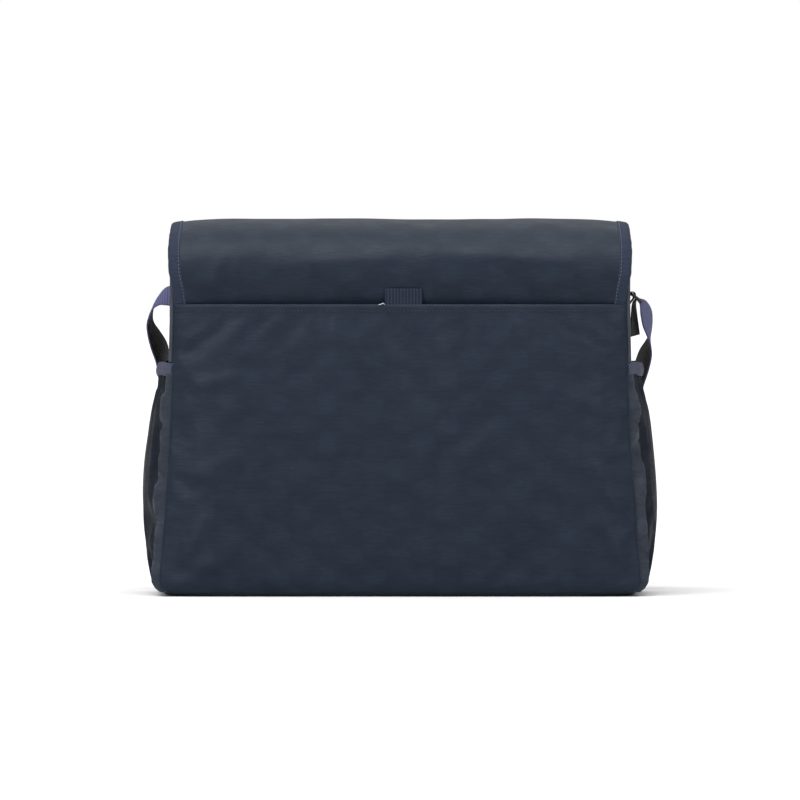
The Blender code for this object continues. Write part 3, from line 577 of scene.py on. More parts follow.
def ribbon(name, stations, width, thickness, materials, steps=6, two_sided=False, crown=0.0):
    """Flat tape with rounded edges. Each station is a centre and the directions of its width and its face."""
    edge = thickness / width / 2
    upper = [(-0.5 + k / steps, 0.5) for k in range(steps + 1)]
    profile = []
    for x, y in upper + [(-x, -y) for x, y in upper]:
        if abs(x) < 0.5:
            profile.append((max(edge - 0.5, min(0.5 - edge, x)), y))
        else:
            profile.append((x * (1 - edge / 2), y * 0.75))
    points = []
    uvs = []
    run = 0.0
    last = stations[0][0]
    for centre, across, face in stations:
        run += (centre - last).length
        last = centre
        for x, y in profile:
            rise = y * thickness + crown * (1 - 4 * x * x)
            points.append(centre + across * (x * width) + face * rise)
            uvs.append((run, x * width))
    sides = len(profile)
    kinds = [int(two_sided and side > steps) for _ in stations[1:] for side in range(sides)] + [0, 0]
    return link_mesh(name, points, skin(len(stations), sides), uvs, materials, kinds)


def tube(name, path, radius, materials, sides=12):
    """A round roll of cloth along a path, a little uneven, with its ends closed."""
    points = []
    uvs = []
    run = 0.0
    for k, centre in enumerate(path):
        ahead = direction_at(path, k)
        first = ahead.cross(Vector((0, 1, 0))).normalized()
        second = ahead.cross(first)
        if k:
            run += (centre - path[k - 1]).length
        size = radius * (1 + 0.07 * grain(centre, 90.0, 1.0))
        for side in range(sides):
            angle = 2 * math.pi * side / sides
            points.append(centre + first * (size * math.cos(angle)) + second * (size * math.sin(angle)))
            uvs.append((run, radius * angle))
    return link_mesh(name, points, skin(len(path), sides), uvs, materials)


def stitches(name, path, normals, pitch=0.0030, length=0.0022, radius=0.00028, material=THREAD):
    """A run of separate stitches along a path, each a small thread with its ends sunk in the cloth."""
    path = [Vector(p) for p in path]
    normals = [Vector(n).normalized() for n in normals]
    runs = [0.0]
    for before, after in zip(path, path[1:]):
        runs.append(runs[-1] + (after - before).length)

    def at(distance):
        k = int(np.searchsorted(runs, distance, side="right")) - 1
        k = min(max(k, 0), len(path) - 2)
        share = (distance - runs[k]) / max(runs[k + 1] - runs[k], 1e-9)
        return path[k].lerp(path[k + 1], share), normals[k].lerp(normals[k + 1], share)

    sides = 5
    rings = ((0.0, -0.8, 0.4), (0.25, 0.5, 1.0), (0.75, 0.5, 1.0), (1.0, -0.8, 0.4))
    points = []
    faces = []
    for s in range(int(runs[-1] / pitch)):
        start = s * pitch + (pitch - length) / 2
        ahead = (at(start + length)[0] - at(start)[0]).normalized()
        faces += [tuple(len(points) + k for k in face) for face in skin(len(rings), sides)]
        for share, lift, size in rings:
            centre, normal = at(start + length * share)
            side = ahead.cross(normal).normalized()
            for k in range(sides):
                angle = 2 * math.pi * k / sides
                up = normal * (radius * (lift + size * math.sin(angle)))
                points.append(centre + up + side * (radius * size * math.cos(angle)))
    return link_mesh(name, points, faces, None, [material])


def drape(grid, pinned, grow, pressure, frames, cap, bending, stiffness=12.0):
    """Lets a pinned sheet that is cut a little too large swell and crumple, and returns its new points."""
    rows, columns = grid.shape[:2]
    mesh = bpy.data.meshes.new("drape")
    quads = grid_faces(rows, columns)[1]
    mesh.from_pydata([tuple(p) for p in grid.reshape(-1, 3)], [], quads.tolist())
    obj = bpy.data.objects.new("drape", mesh)
    bpy.context.scene.collection.objects.link(obj)
    group = obj.vertex_groups.new(name="pin")
    weights = pinned.ravel()
    for k in np.nonzero(weights > 0)[0]:
        group.add([int(k)], float(weights[k]), "REPLACE")
    cloth = obj.modifiers.new("cloth", "CLOTH")
    settings = cloth.settings
    settings.quality = 6
    settings.mass = 0.25
    settings.tension_stiffness = stiffness
    settings.compression_stiffness = stiffness
    settings.shear_stiffness = stiffness * 0.4
    settings.bending_stiffness = bending
    settings.air_damping = 2.0
    settings.vertex_group_mass = "pin"
    settings.shrink_min = -grow
    settings.shrink_max = -grow
    settings.use_pressure = True
    settings.uniform_pressure_force = pressure
    settings.effector_weights.gravity = 0.0
    cloth.collision_settings.use_collision = False
    scene = bpy.context.scene
    for step in range(1, frames + 1):
        scene.frame_set(step)
    evaluated = obj.evaluated_get(bpy.context.evaluated_depsgraph_get())
    moved = np.empty(rows * columns * 3)
    evaluated.data.vertices.foreach_get("co", moved)
    scene.frame_set(1)
    bpy.data.objects.remove(obj)
    shift = moved.reshape(rows, columns, 3) - grid
    length = np.linalg.norm(shift, axis=2, keepdims=True)
    shift *= np.minimum(1.0, cap / np.maximum(length, 1e-9))
    return grid + shift


def blurred(field, reach):
    """The field with each value averaged over its neighbours within reach."""
    out = field
    for axis in (0, 1):
        before = np.repeat(out.take([0], axis), reach, axis)
        after = np.repeat(out.take([-1], axis), reach, axis)
        padded = np.concatenate([before, out, after], axis)
        sums = sum(np.roll(padded, shift, axis) for shift in range(-reach, reach + 1)) / (2 * reach + 1)
        out = sums.take(range(reach, reach + field.shape[axis]), axis)
    return out


def grain(point, scale, seed):
    """Smooth noise from -1 to 1."""
    x, y, z = point
    return noise.noise(Vector((x * scale + seed, y * scale - seed, z * scale + 2 * seed)))


def ridge(x, z, start, end, width, height):
    """A soft fold of the cloth along a line, high in its middle and fading out at both ends."""
    ax, az = start
    bx, bz = end
    dx, dz = bx - ax, bz - az
    share = ((x - ax) * dx + (z - az) * dz) / (dx * dx + dz * dz)
    off = abs((x - ax) * dz - (z - az) * dx) / math.hypot(dx, dz)
    fade = math.exp(-(((share - 0.5) / 0.42) ** 4))
    return height * math.exp(-((off / width) ** 2)) * fade


# ---------------------------------------------------------------- the body's outline
def half_width(z):
    drop = max(0.0, (TAPER_HEIGHT - z) / TAPER_HEIGHT)
    return TOP_HALF_WIDTH + (BASE_HALF_WIDTH - TOP_HALF_WIDTH) * drop**TAPER_POWER


def corner_inset(z, radius):
    if z >= radius:
        return 0.0
    return radius * (1 - math.sqrt(max(0.0, 1 - ((radius - z) / radius) ** 2)))


def side_face(z):
    """Half the width of the body's sides, which round in at the base."""
    return half_width(z) - 0.75 * corner_inset(z - 0.0015, 0.0110)


def grid_of(rows, columns, place):
    grid = np.empty((rows + 1, columns + 1, 3))
    for j in range(rows + 1):
        for i in range(columns + 1):
            grid[j, i] = place(i / columns, j / rows)
    return grid


# ---------------------------------------------------------------- back slip pocket
BACK_FOLDS = (
    ((-0.176, 0.172), (-0.130, 0.182), 0.006, 0.0010),
    ((-0.180, 0.096), (-0.120, 0.120), 0.010, 0.0012),
    ((-0.188, 0.020), (-0.150, 0.075), 0.008, 0.0013),
    ((-0.176, 0.012), (-0.120, 0.050), 0.010, 0.0010),
    ((0.178, 0.150), (0.130, 0.168), 0.007, 0.0010),
    ((0.186, 0.088), (0.150, 0.112), 0.006, 0.0014),
    ((0.188, 0.064), (0.158, 0.100), 0.006, 0.0013),
    ((0.190, 0.020), (0.160, 0.072), 0.007, 0.0014),
    ((0.184, 0.010), (0.130, 0.044), 0.010, 0.0010),
    ((-0.060, 0.030), (0.060, 0.034), 0.012, 0.0006),
    ((0.150, 0.226), (0.184, 0.206), 0.006, 0.0008),
    ((-0.150, 0.226), (-0.184, 0.206), 0.006, 0.0008),
)


def back_pocket_place(u, v, folds=True):
    """A point of the back slip pocket: v runs from the edge turned under the base up to the mouth."""
    side = 2 * u - 1
    under = 0.055
    top = BACK_POCKET[1][2]
    if v < under:
        turn = (1 - v / under) * math.pi / 2
        z = 0.0100 * (1 - math.sin(turn)) + 0.0004
        tuck = 0.0090 * (1 - math.cos(turn))
    else:
        z = 0.0104 + (top - 0.0104) * (v - under) / (1 - under)
        tuck = 0.0
    lift = 0.0014 * abs(side) ** 5 * max(0.0, 1 - z / 0.03)
    share = z / top
    slack = 0.0050 * share + 0.0060 * math.sin(math.pi * share)
    x = side * (half_width(z) - corner_inset(z, 0.0095))
    y = POCKET_EDGE_Y + slack * (1 - side**6) - tuck - 0.0022 * abs(side) ** 22
    if folds:
        for start, end, width, height in BACK_FOLDS:
            y += ridge(x, z, start, end, width, 1.5 * height)
        y += 0.0009 * grain((x, z, 0.0), 16.0, 3.1) + 0.0004 * grain((x, z, 0.3), 45.0, 7.7)
    return x, -y, z + lift


def make_back_pocket():
    rows, columns = 96, 150
    grid = grid_of(rows, columns, back_pocket_place)
    pinned = np.zeros((rows + 1, columns + 1))
    pinned[:, (0, -1)] = 1.0
    pinned[:4, :] = 1.0
    pinned[-4:, :] = 0.9
    grid = drape(grid, pinned, 0.004, 0.10, frames=16, cap=0.0012, bending=2.5)
    piece = thick_sheet("back_pocket_cloth", grid, CLOTH, (0, -1, 0), [NAVY])
    declare(piece, "bag", "navy_fabric", "back_pocket")
    hem_row = rows - 2
    line = [Vector(grid[hem_row, i]) + Vector((0, -0.0001, 0)) for i in range(1, columns)]
    thread = stitches("back_pocket_hem_stitches", line, [(0, -1, 0)] * len(line), radius=0.00040)
    thread.parent = piece


def make_pull_tab():
    """A doubled length of lengthwise-ribbed webbing, folded over at its top."""
    low, high = TAB
    width = high[0] - low[0]
    middle_x = (high[0] + low[0]) / 2
    back = -(POCKET_EDGE_Y + 0.0030)
    ribs = 11
    columns = ribs * 8
    rows = 30
    top = high[2]

    def place(u, v):
        x = middle_x + (u - 0.5) * width
        rib = 0.00030 * abs(math.sin(math.pi * ribs * u))
        bend = 0.0009
        if v < 0.92:
            z = low[2] + (top - bend - low[2]) * v / 0.92
            y = back - 0.0007 - rib
        else:
            angle = math.pi / 2 * (v - 0.92) / 0.08
            z = top - bend + (bend + rib) * math.sin(angle)
            y = back + 0.0002 - (0.0009 + rib) * math.cos(angle)
        return x, y - 0.0006 * math.sin(math.pi * u), z

    grid = grid_of(rows, columns, place)
    piece = thick_sheet("back_pocket_tab_webbing", grid, 0.0012, (0, -1, 0), [TAB_WEBBING])
    declare(piece, "bag", "tab_webbing", "back_pocket_tab")
    start = Vector((low[0] - 0.0002, back - 0.0030, BACK_POCKET[1][2] + 0.0006))
    path = []
    for k in range(9):
        path.append(start + Vector((-0.0060 * k / 8, -0.0003 * math.sin(k), 0.0006 * math.sin(k * 0.8))))
    up = [(0, 0, 1)] * len(path)
    end = stitches("loose_thread_end", path, up, 0.0062, 0.0060, 0.00035, PALE_THREAD)
    end.parent = piece


# ---------------------------------------------------------------- flap
def flap_profile():
    """The flap's outer face in its middle plane. Its back bulges over the slip pocket and turns in below."""
    rise = FLAP_BULGE_HEIGHT - FLAP_ROOT_HEIGHT
    points = []
    for k in range(36):
        share = k / 36
        swell = max(0.0, (share - 0.16) / 0.84)
        y = -FLAP_ROOT_Y - (FLAP_BACK_REACH - FLAP_ROOT_Y) * (1 - math.cos(math.pi * swell)) / 2
        points.append((y, FLAP_ROOT_HEIGHT + rise * share))
    for k in range(121):
        angle = math.pi * k / 120
        at_back = k < 60
        reach = FLAP_BACK_REACH if at_back else FLAP_FRONT_REACH
        spring = FLAP_BULGE_HEIGHT if at_back else FLAP_SPRING_HEIGHT
        shape = 2 / (FLAP_BACK_ARCH_POWER if at_back else FLAP_ARCH_POWER)
        cosine = math.cos(angle)
        y = -reach * signed_power(cosine, shape)
        z = spring + (FLAP_PEAK - spring) * max(0.0, math.sin(angle)) ** shape
        points.append((y, z))
    drop = FLAP_SPRING_HEIGHT - FLAP_END_HEIGHT
    for k in range(1, 61):
        points.append((FLAP_FRONT_REACH, FLAP_SPRING_HEIGHT - drop * k / 60))
    return np.array(points)


PROFILE = flap_profile()
STEPS = np.linalg.norm(np.diff(PROFILE, axis=0), axis=1)
RUN = np.concatenate([[0.0], np.cumsum(STEPS)])
FLAP_LENGTH = RUN[-1]


def profile_at(distance):
    """The outline's y and z at a distance from the root, and the outward normal there."""
    y = np.interp(distance, RUN, PROFILE[:, 0])
    z = np.interp(distance, RUN, PROFILE[:, 1])
    step = 0.004
    a, b = max(0.0, distance - step), min(FLAP_LENGTH, distance + step)
    dy = np.interp(b, RUN, PROFILE[:, 0]) - np.interp(a, RUN, PROFILE[:, 0])
    dz = np.interp(b, RUN, PROFILE[:, 1]) - np.interp(a, RUN, PROFILE[:, 1])
    length = math.hypot(dy, dz)
    return y, z, -dz / length, dy / length


TOP_MIDDLE = float(RUN[int(np.argmin(np.abs(PROFILE[:, 0]) + (PROFILE[:, 1] < FLAP_BULGE_HEIGHT)))])
WIDTH_ALONG = (0.0, 0.022, 0.040, 0.062, 0.095, 0.150, 0.250, 0.500)
WIDTH_VALUE = (0.1842, 0.1862, 0.1897, 0.1905, 0.1892, FLAP_HALF_WIDTH, FLAP_HALF_WIDTH, FLAP_HALF_WIDTH)


def flap_half_width(distance):
    return float(np.interp(distance, WIDTH_ALONG, WIDTH_VALUE))


def flap_place(x, distance, depth=0.0):
    """A point of the flap. Its edges droop and roll in a little, and its face is slightly uneven."""
    y, z, ny, nz = profile_at(distance)
    half = flap_half_width(distance)
    edge = min(1.0, abs(x) / half)
    top = max(0.0, nz)
    sink = 0.0026 * edge**9 * top + 0.0012 * edge**14
    free = min(1.0, max(0.0, (distance - 0.012) / 0.03))
    wave = 0.0009 * grain((x, distance, 0.0), 11.0, 5.3) + 0.0004 * grain((x, distance, 0.0), 34.0, 1.9)
    if distance < TOP_MIDDLE:
        wave += sum(ridge(x, distance, *fold) for fold in FLAP_FOLDS)
    sink -= wave * free * (1 - edge**6)
    total = depth + sink
    return x, y - ny * total, z - nz * total


FLAP_FOLDS = (
    ((-0.153, 0.008), (-0.147, 0.056), 0.0045, 0.0018),
    ((-0.137, 0.012), (-0.134, 0.048), 0.0040, 0.0011),
    ((0.112, 0.026), (0.172, 0.044), 0.0055, 0.0018),
    ((-0.120, 0.042), (0.000, 0.052), 0.0070, 0.0013),
    ((0.030, 0.058), (0.150, 0.046), 0.0070, 0.0015),
    ((0.148, 0.006), (0.160, 0.034), 0.0045, 0.0013),
    ((-0.070, 0.014), (-0.006, 0.022), 0.0060, 0.0010),
    ((0.020, 0.020), (0.090, 0.014), 0.0060, 0.0009),
)


def follow_flap(piece, part):
    if part == "back":
        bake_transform(piece)
    else:
        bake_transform(piece)


def front_end(x_share, inset):
    """How far the flap's front reaches at this share of its width: its lower corners are rounded."""
    x = abs(x_share) * FLAP_HALF_WIDTH
    straight = FLAP_HALF_WIDTH - FLAP_CORNER_RADIUS
    if x <= straight:
        return FLAP_LENGTH - inset
    over = min(1.0, (x - straight) / FLAP_CORNER_RADIUS)
    return FLAP_LENGTH - inset - FLAP_CORNER_RADIUS * (1 - math.sqrt(max(0.0, 1 - over * over)))


def flap_grid(part, inset, depth, rows, columns):
    def place(u, v):
        side = 2 * u - 1
        if part == "back":
            distance = TOP_MIDDLE * v
        else:
            share = side * (1 - inset / FLAP_HALF_WIDTH)
            distance = TOP_MIDDLE + (front_end(share, inset) - TOP_MIDDLE) * v
        x = side * (flap_half_width(distance) - inset)
        return flap_place(x, distance, depth)

    return grid_of(rows, columns, place)


def binding_ring(x, distance, out_x, out_d, wide=BINDING_WIDTH):
    """The tape's section where it is folded round the flap's edge, as x, distance and depth."""
    half = BINDING_THICKNESS / 2
    section = []
    pucker = grain((x, distance, 0.0), 150.0, 2.7)
    wide += 0.0007 * pucker
    inner = 0.0007 + 0.0004 * pucker
    spread = wide - half
    for share in (0.0, 0.33, 0.66, 1.0):
        section.append((-wide + spread * share, -inner * (0.2 if share == 0 else 1.0)))
    for k in range(1, 6):
        angle = math.pi * k / 6
        section.append((-half + (half + inner) * math.sin(angle), half - (half + inner) * math.cos(angle)))
    for share in (1.0, 0.66, 0.33, 0.0):
        section.append((-wide + spread * share, BINDING_THICKNESS + inner * (0.2 if share == 0 else 1.0)))
    return [(x + out_x * off, distance + out_d * off, depth) for off, depth in section]


def sweep_binding(name, stations, part, nodes):
    """The tape along the flap's edge. Each station is x, distance and the way out in the flap's plane."""
    points = []
    uvs = []
    run = 0.0
    last = stations[0][:2]
    for x, distance, out_x, out_d in stations:
        run += math.hypot(x - last[0], distance - last[1])
        last = (x, distance)
        for k, (px, pd, depth) in enumerate(binding_ring(x, distance, out_x, out_d)):
            points.append(flap_place(px, min(max(pd, 0.0), FLAP_LENGTH + 0.002), depth))
            uvs.append((run, k * 0.0016))
    sides = len(points) // len(stations)
    piece = link_mesh(name, points, flipped(skin(len(stations), sides)), uvs, [TAPE])
    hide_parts(*nodes)
    follow_flap(piece, part)


def binding_stitches(name, stations, part):
    inset = BINDING_WIDTH - 0.0016
    path = []
    normals = []
    for x, distance, out_x, out_d in stations:
        px, pd = x - out_x * inset, distance - out_d * inset
        path.append(flap_place(px, pd, -0.0005))
        _, _, ny, nz = profile_at(pd)
        normals.append((0.0, ny, nz))
    piece = stitches(name, path, normals, radius=0.00034, material=BINDING_THREAD)
    follow_flap(piece, part)


FLAP_TUCK = 0.0030
FLAP_COLUMNS = 120
# Each part's rows, the way its outer face looks, its flat end, the nodes that it covers and its length.
FLAP_PARTS = {
    "back": (48, (0, -1, 0.6), "end", ("flap_back", "flap_top"), TOP_MIDDLE),
    "front": (90, (0, 1, 0.3), "start", ("flap_front",), FLAP_LENGTH - TOP_MIDDLE),
}


def make_flap_layer(part, piece_name, node_name, depth, thickness, material, coarser=1):
    rows, facing, flat_end, covers, length = FLAP_PARTS[part]
    grid = flap_grid(part, FLAP_TUCK, depth, rows // coarser, FLAP_COLUMNS // coarser)
    piece = thick_sheet(f"flap_{part}_{piece_name}", grid, thickness, facing, [material], (flat_end,))
    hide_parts(*[f"{cover}_{node_name}" for cover in covers])
    follow_flap(piece, part)


def back_binding_stations(side, steps=60):
    stations = []
    for k in range(steps + 1):
        distance = TOP_MIDDLE * k / steps
        stations.append((side * flap_half_width(distance), distance, side, 0.0))
    return stations[::-1] if side > 0 else stations


def front_binding_stations(side_steps=60, corner_steps=12, end_steps=20):
    """Down one edge of the flap's front, round its corner and along its end, and back up the other edge."""
    corner = FLAP_LENGTH - FLAP_CORNER_RADIUS
    centre_x = FLAP_HALF_WIDTH - FLAP_CORNER_RADIUS
    half = []
    for k in range(side_steps):
        distance = TOP_MIDDLE + (corner - TOP_MIDDLE) * k / side_steps
        half.append((flap_half_width(distance), distance, 1.0, 0.0))
    for k in range(corner_steps + 1):
        angle = math.pi / 2 * k / corner_steps
        out_x, out_d = math.cos(angle), math.sin(angle)
        x, distance = centre_x + FLAP_CORNER_RADIUS * out_x, corner + FLAP_CORNER_RADIUS * out_d
        half.append((x, distance, out_x, out_d))
    for k in range(1, end_steps):
        half.append((centre_x * (1 - k / end_steps), FLAP_LENGTH, 0.0, 1.0))
    left = [(-x, d, -ox, od) for x, d, ox, od in half]
    return left + [(0.0, FLAP_LENGTH, 0.0, 1.0)] + half[::-1]


def make_flap():
    for part in FLAP_PARTS:
        make_flap_layer(part, "cloth", "panel", 0.0, CLOTH, NAVY)
        depth = CLOTH + 0.0003
        make_flap_layer(part, "lining_cloth", "lining", depth, LINING, LINING_CLOTH, coarser=2)
    for name, side in SIDES:
        stations = back_binding_stations(side)
        nodes = (f"flap_back_binding_{name}", f"flap_top_binding_{name}")
        sweep_binding(f"flap_back_tape_{name}", stations, "back", nodes)
        binding_stitches(f"flap_back_tape_stitches_{name}", stations, "back")
    stations = front_binding_stations()
    sweep_binding("flap_front_tape", stations, "front", ("flap_front_binding",))
    binding_stitches("flap_front_tape_stitches", stations, "front")


# ---------------------------------------------------------------- panels, gussets, base, lining
def make_panel(name, side):
    def place(u, v):
        z = PANEL_BOTTOM + (MOUTH_HEIGHT - PANEL_BOTTOM) * v
        share = 2 * u - 1
        x = share * (half_width(z) - 0.001 - corner_inset(z - 0.003, 0.009))
        puff = 0.0006 * grain((x, z, side * 1.0), 14.0, 2.2)
        if side > 0:
            puff += ridge(x, z, (-0.17, 0.03), (-0.11, 0.052), 0.010, 0.0010)
            puff += ridge(x, z, (0.17, 0.03), (0.11, 0.050), 0.010, 0.0010)
        return x, side * (PANEL_FACE_Y - 0.0006 + puff), z

    piece = thick_sheet(f"{name}_panel_cloth", grid_of(50, 80, place), PANEL_THICKNESS, (0, side, 0), [NAVY])
    declare(piece, "bag", "navy_fabric", f"{name}_panel")


def gusset_reach(share):
    return 0.0030 * (1 - share**2)


def make_gusset(name, side):
    def place(u, v):
        z = PANEL_BOTTOM + (MOUTH_HEIGHT - PANEL_BOTTOM) * v
        share = 2 * u - 1
        x = side_face(z) - 0.001 + gusset_reach(share)
        x += 0.0006 * math.sin(5.5 * share + 30 * z) * (1 - share**2)
        x += 0.0009 * grain((share * 0.06, z, side), 22.0, 4.4) * (1 - share**4)
        return side * x, share * (PANEL_FACE_Y - 0.0034), z

    piece = thick_sheet(f"gusset_{name}_cloth", grid_of(70, 40, place), CLOTH, (side, 0, 0), [NAVY_PLAIN])
    declare(piece, "bag", "navy_fabric", f"gusset_{name}")
    for label, edge in (("back", -1), ("front", 1)):
        seam_line = []
        for k in range(31):
            z = BAND[1][2] + (MOUTH_HEIGHT - 0.002 - BAND[1][2]) * k / 30
            seam_line.append(Vector((side * (half_width(z) + 0.0016), edge * 0.0594, z)))
        # The seam roll is real cloth; its lighter colour is a painted highlight.
        declare(tube(f"gusset_{name}_{label}_seam", seam_line, 0.0021, [PIPING_PAINTED_HIGHLIGHT]), "bag", "navy_fabric")


def make_base():
    """The base's cloth, a flat cushion with round corners, and the board that lies in it."""
    high = BASE[1]
    half_x, half_y = high[0] - 0.0028, high[1] - 0.0012
    corner_power = 0.20
    height = 0.0025
    flat_part = ((0.0, 0.0), (0.5, 0.0), (0.97, 0.0))
    roll = flat_part + ((0.992, 0.0004), (1.0, 0.0013), (0.995, 0.0022), (0.98, height))
    rows, columns = 18, 160
    points = [(0.0, 0.0, 0.0)]
    for j in range(1, rows + 1):
        k = j / rows * (len(roll) - 1)
        first = min(int(k), len(roll) - 2)
        share = k - first
        scale, z = (a * (1 - share) + b * share for a, b in zip(roll[first], roll[first + 1]))
        for i in range(columns):
            angle = 2 * math.pi * i / columns
            x = half_x * signed_power(math.cos(angle), corner_power)
            y = half_y * signed_power(math.sin(angle), corner_power)
            points.append((x * scale, y * scale, z))
    top = len(points)
    points.append((0.0, 0.0, height))
    faces = [tuple(1 + k for k in face) for face in skin(rows, columns, caps=False)]
    for i in range(columns):
        turn = (i + 1) % columns
        faces += [(0, 1 + turn, 1 + i), (top - columns + i, top - columns + turn, top)]
    piece = link_mesh("base_cloth", points, faces, [point[:2] for point in points], [NAVY_PLAIN])
    declare(piece, "bag", "navy_fabric", "base_panel")
    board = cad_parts["base_board"].data
    board.materials.clear()
    board.materials.append(BOARD)


def rounded_loop(half_x, half_y, radius, z, per_corner=8, per_side=20):
    """A rectangle with round corners at height z, as a closed row of points."""
    def on_corner(quarter, share):
        angle = math.radians(90 * (quarter + share))
        cx = (half_x - radius) * (1 if quarter % 4 in (0, 3) else -1)
        cy = (half_y - radius) * (1 if quarter % 4 < 2 else -1)
        return Vector((cx + radius * math.cos(angle), cy + radius * math.sin(angle), z))

    points = []
    for quarter in range(4):
        points += [on_corner(quarter, k / per_corner) for k in range(per_corner + 1)]
        here, ahead = points[-1], on_corner(quarter + 1, 0)
        points += [here.lerp(ahead, k / per_side) for k in range(1, per_side)]
    return points


def make_lining():
    """The lining, an open tub of thin cloth inside the shell."""
    bottom = 0.0062
    half_depth = PANEL_FACE_Y - 0.0050
    rows = 40
    points = []
    for shrink in (0.0, LINING):
        floor_z = bottom + shrink
        for j in range(rows + 1):
            z = floor_z + (MOUTH_HEIGHT - floor_z) * j / rows
            for p in rounded_loop(half_width(z) - 0.0045 - shrink, half_depth - shrink, 0.012, z):
                puff = 0.0007 * (1 + grain(p, 24.0, 6.1)) * min(1.0, j / 4) * min(1.0, (rows - j) / 3)
                points.append(p + Vector((-p.x / 0.19, -p.y / 0.055, 0)).normalized() * puff)
    layer = len(points) // 2
    per = layer // (rows + 1)
    outer = skin(rows + 1, per, caps=False) + [tuple(range(per - 1, -1, -1))]
    inner = [tuple(layer + k for k in face) for face in flipped(outer)]
    rim = []
    for i in range(per):
        here, there = rows * per + i, rows * per + (i + 1) % per
        rim.append((here, there, there + layer, here + layer))
    uvs = [(p.x + p.y, p.z) if p.z > bottom + 0.002 else (p.x, p.y) for p in points]
    piece = link_mesh("lining_cloth", points, outer + inner + rim, uvs, [LINING_CLOTH])
    declare(piece, "bag", "navy_lining", "lining")


def make_mouth_tape():
    """The tape folded over the raw edges of shell and lining, all round the mouth."""
    profile = (
        (-0.0031, -0.0090), (-0.0033, -0.0030), (-0.0030, 0.0006), (-0.0016, 0.0021), (0.0, 0.0025),
        (0.0016, 0.0021), (0.0030, 0.0006), (0.0031, -0.0030), (0.0026, -0.0090), (0.0020, -0.0090),
        (0.0022, -0.0026), (0.0, -0.0008), (-0.0024, -0.0026), (-0.0025, -0.0090),
    )
    loop = rounded_loop(half_width(MOUTH_HEIGHT) - 0.0022, PANEL_FACE_Y - 0.0026, 0.009, MOUTH_HEIGHT)
    points = []
    uvs = []
    run = 0.0
    for i, point in enumerate(loop):
        ahead = (loop[(i + 1) % len(loop)] - loop[i - 1]).normalized()
        if i:
            run += (point - loop[i - 1]).length
        for k, (off, up) in enumerate(profile):
            points.append(point + Vector((ahead.y * off, -ahead.x * off, up)))
            uvs.append((run, k * 0.0022))
    faces = skin(len(loop), len(profile), closed=True)
    declare(link_mesh("mouth_tape", points, faces, uvs, [TAPE]), "bag", "navy_tape", "mouth_binding")


# ---------------------------------------------------------------- side pockets
def belly(z):
    share = min(1.0, max(0.0, z / SIDE_POCKET_TOP))
    return SIDE_POCKET_BELLY * math.sin(0.83 * math.pi * share**0.85)


def band_reach(share):
    return BAND_REACH * (1 - abs(share) ** 3)


def side_pocket_grid(side, seed):
    """The pocket before it crumples: a raised fold beside each seam, and gathers at its mouth and hem."""
    def place(u, v):
        z = SIDE_POCKET_BOTTOM + (SIDE_POCKET_TOP + 0.0006 - SIDE_POCKET_BOTTOM) * v
        share = 2 * u - 1
        fold = 0.80 + 0.55 * grain((share * 0.4, z * 16, seed + 4), 1.0, 3.0)
        fold *= min(1.0, z / 0.012) * min(1.0, (SIDE_POCKET_TOP - z) / 0.045)
        drift = 0.02 * grain((0.0, z * 22, seed), 1.0, 5.0)
        near = abs(share) - SIDE_FOLD_AT - drift
        out = side_face(z) + 0.0018 + belly(z) * (1 - abs(share) ** 3)
        out += SIDE_FOLD_RISE * fold * math.exp(-((near / 0.060) ** 2))
        out -= SIDE_FOLD_DIP * fold * math.exp(-(((near + 0.145) / 0.070) ** 2))
        gather = math.exp(-((1 - v) / 0.20)) + 0.35 * math.exp(-(v / 0.12))
        wave = math.sin(26 * share + 3.0 * grain((share, z * 8, seed), 1.3, 2.0) + seed)
        out += 0.0012 * gather * wave * (1 - share**6)
        out += 0.0014 * grain((share * 0.05, z * 0.6, seed), 26.0, seed) * (1 - share**4)
        out -= SIDE_HEM_TUCK * abs(share) ** 60
        return side * out, share * (SIDE_HALF_DEPTH + 0.0021), z

    return grid_of(64, 72, place)


def settle_side_pocket(cut, side):
    """Lets the pocket crumple, takes out most of its overall swelling and keeps it outside the bag's side."""
    pinned = np.zeros(cut.shape[:2])
    pinned[:, (0, -1)] = 1.0
    pinned[0, :] = 1.0
    pinned[-2:, :] = 1.0
    grid = drape(cut, pinned, 0.030, 0.35, frames=28, cap=0.0040, stiffness=9.0, bending=0.9)
    moved = (grid[..., 0] - cut[..., 0]) * side
    grid[..., 0] -= side * 0.92 * blurred(moved, 7)
    heights = grid[..., 2].ravel()
    outline = np.array([side_face(z) + 0.0026 + belly(z) for z in heights]).reshape(moved.shape)
    grid[..., 0] -= side * 0.75 * np.maximum(0.0, np.abs(grid[..., 0]) - outline)
    floor_x = np.array([side_face(z) + 0.0030 for z in heights]).reshape(moved.shape)
    sunk = (np.abs(grid[..., 0]) < floor_x) & (np.abs(grid[..., 1]) < SIDE_HALF_DEPTH * 0.93)
    grid[..., 0] = np.where(sunk, side * floor_x, grid[..., 0])
    return grid


def make_side_pocket(name, side, seed):
    grid = settle_side_pocket(side_pocket_grid(side, seed), side)
    cloths = [POCKET_CLOTH, POCKET_PAINTED_HIGHLIGHT]
    piece = thick_sheet(f"side_pocket_{name}_cloth", grid, LINING, (side, 0, 0), cloths)
    # Faces nearer the seams than this depth get the lighter copy, a painted highlight on the fold beside each
    # seam; the rest keeps the plain satin.
    for face in piece.data.polygons:
        face.material_index = int(abs(face.center.y) > SIDE_HIGHLIGHT_Y)
    declare(piece, "bag", "navy_fabric", f"side_pocket_{name}")


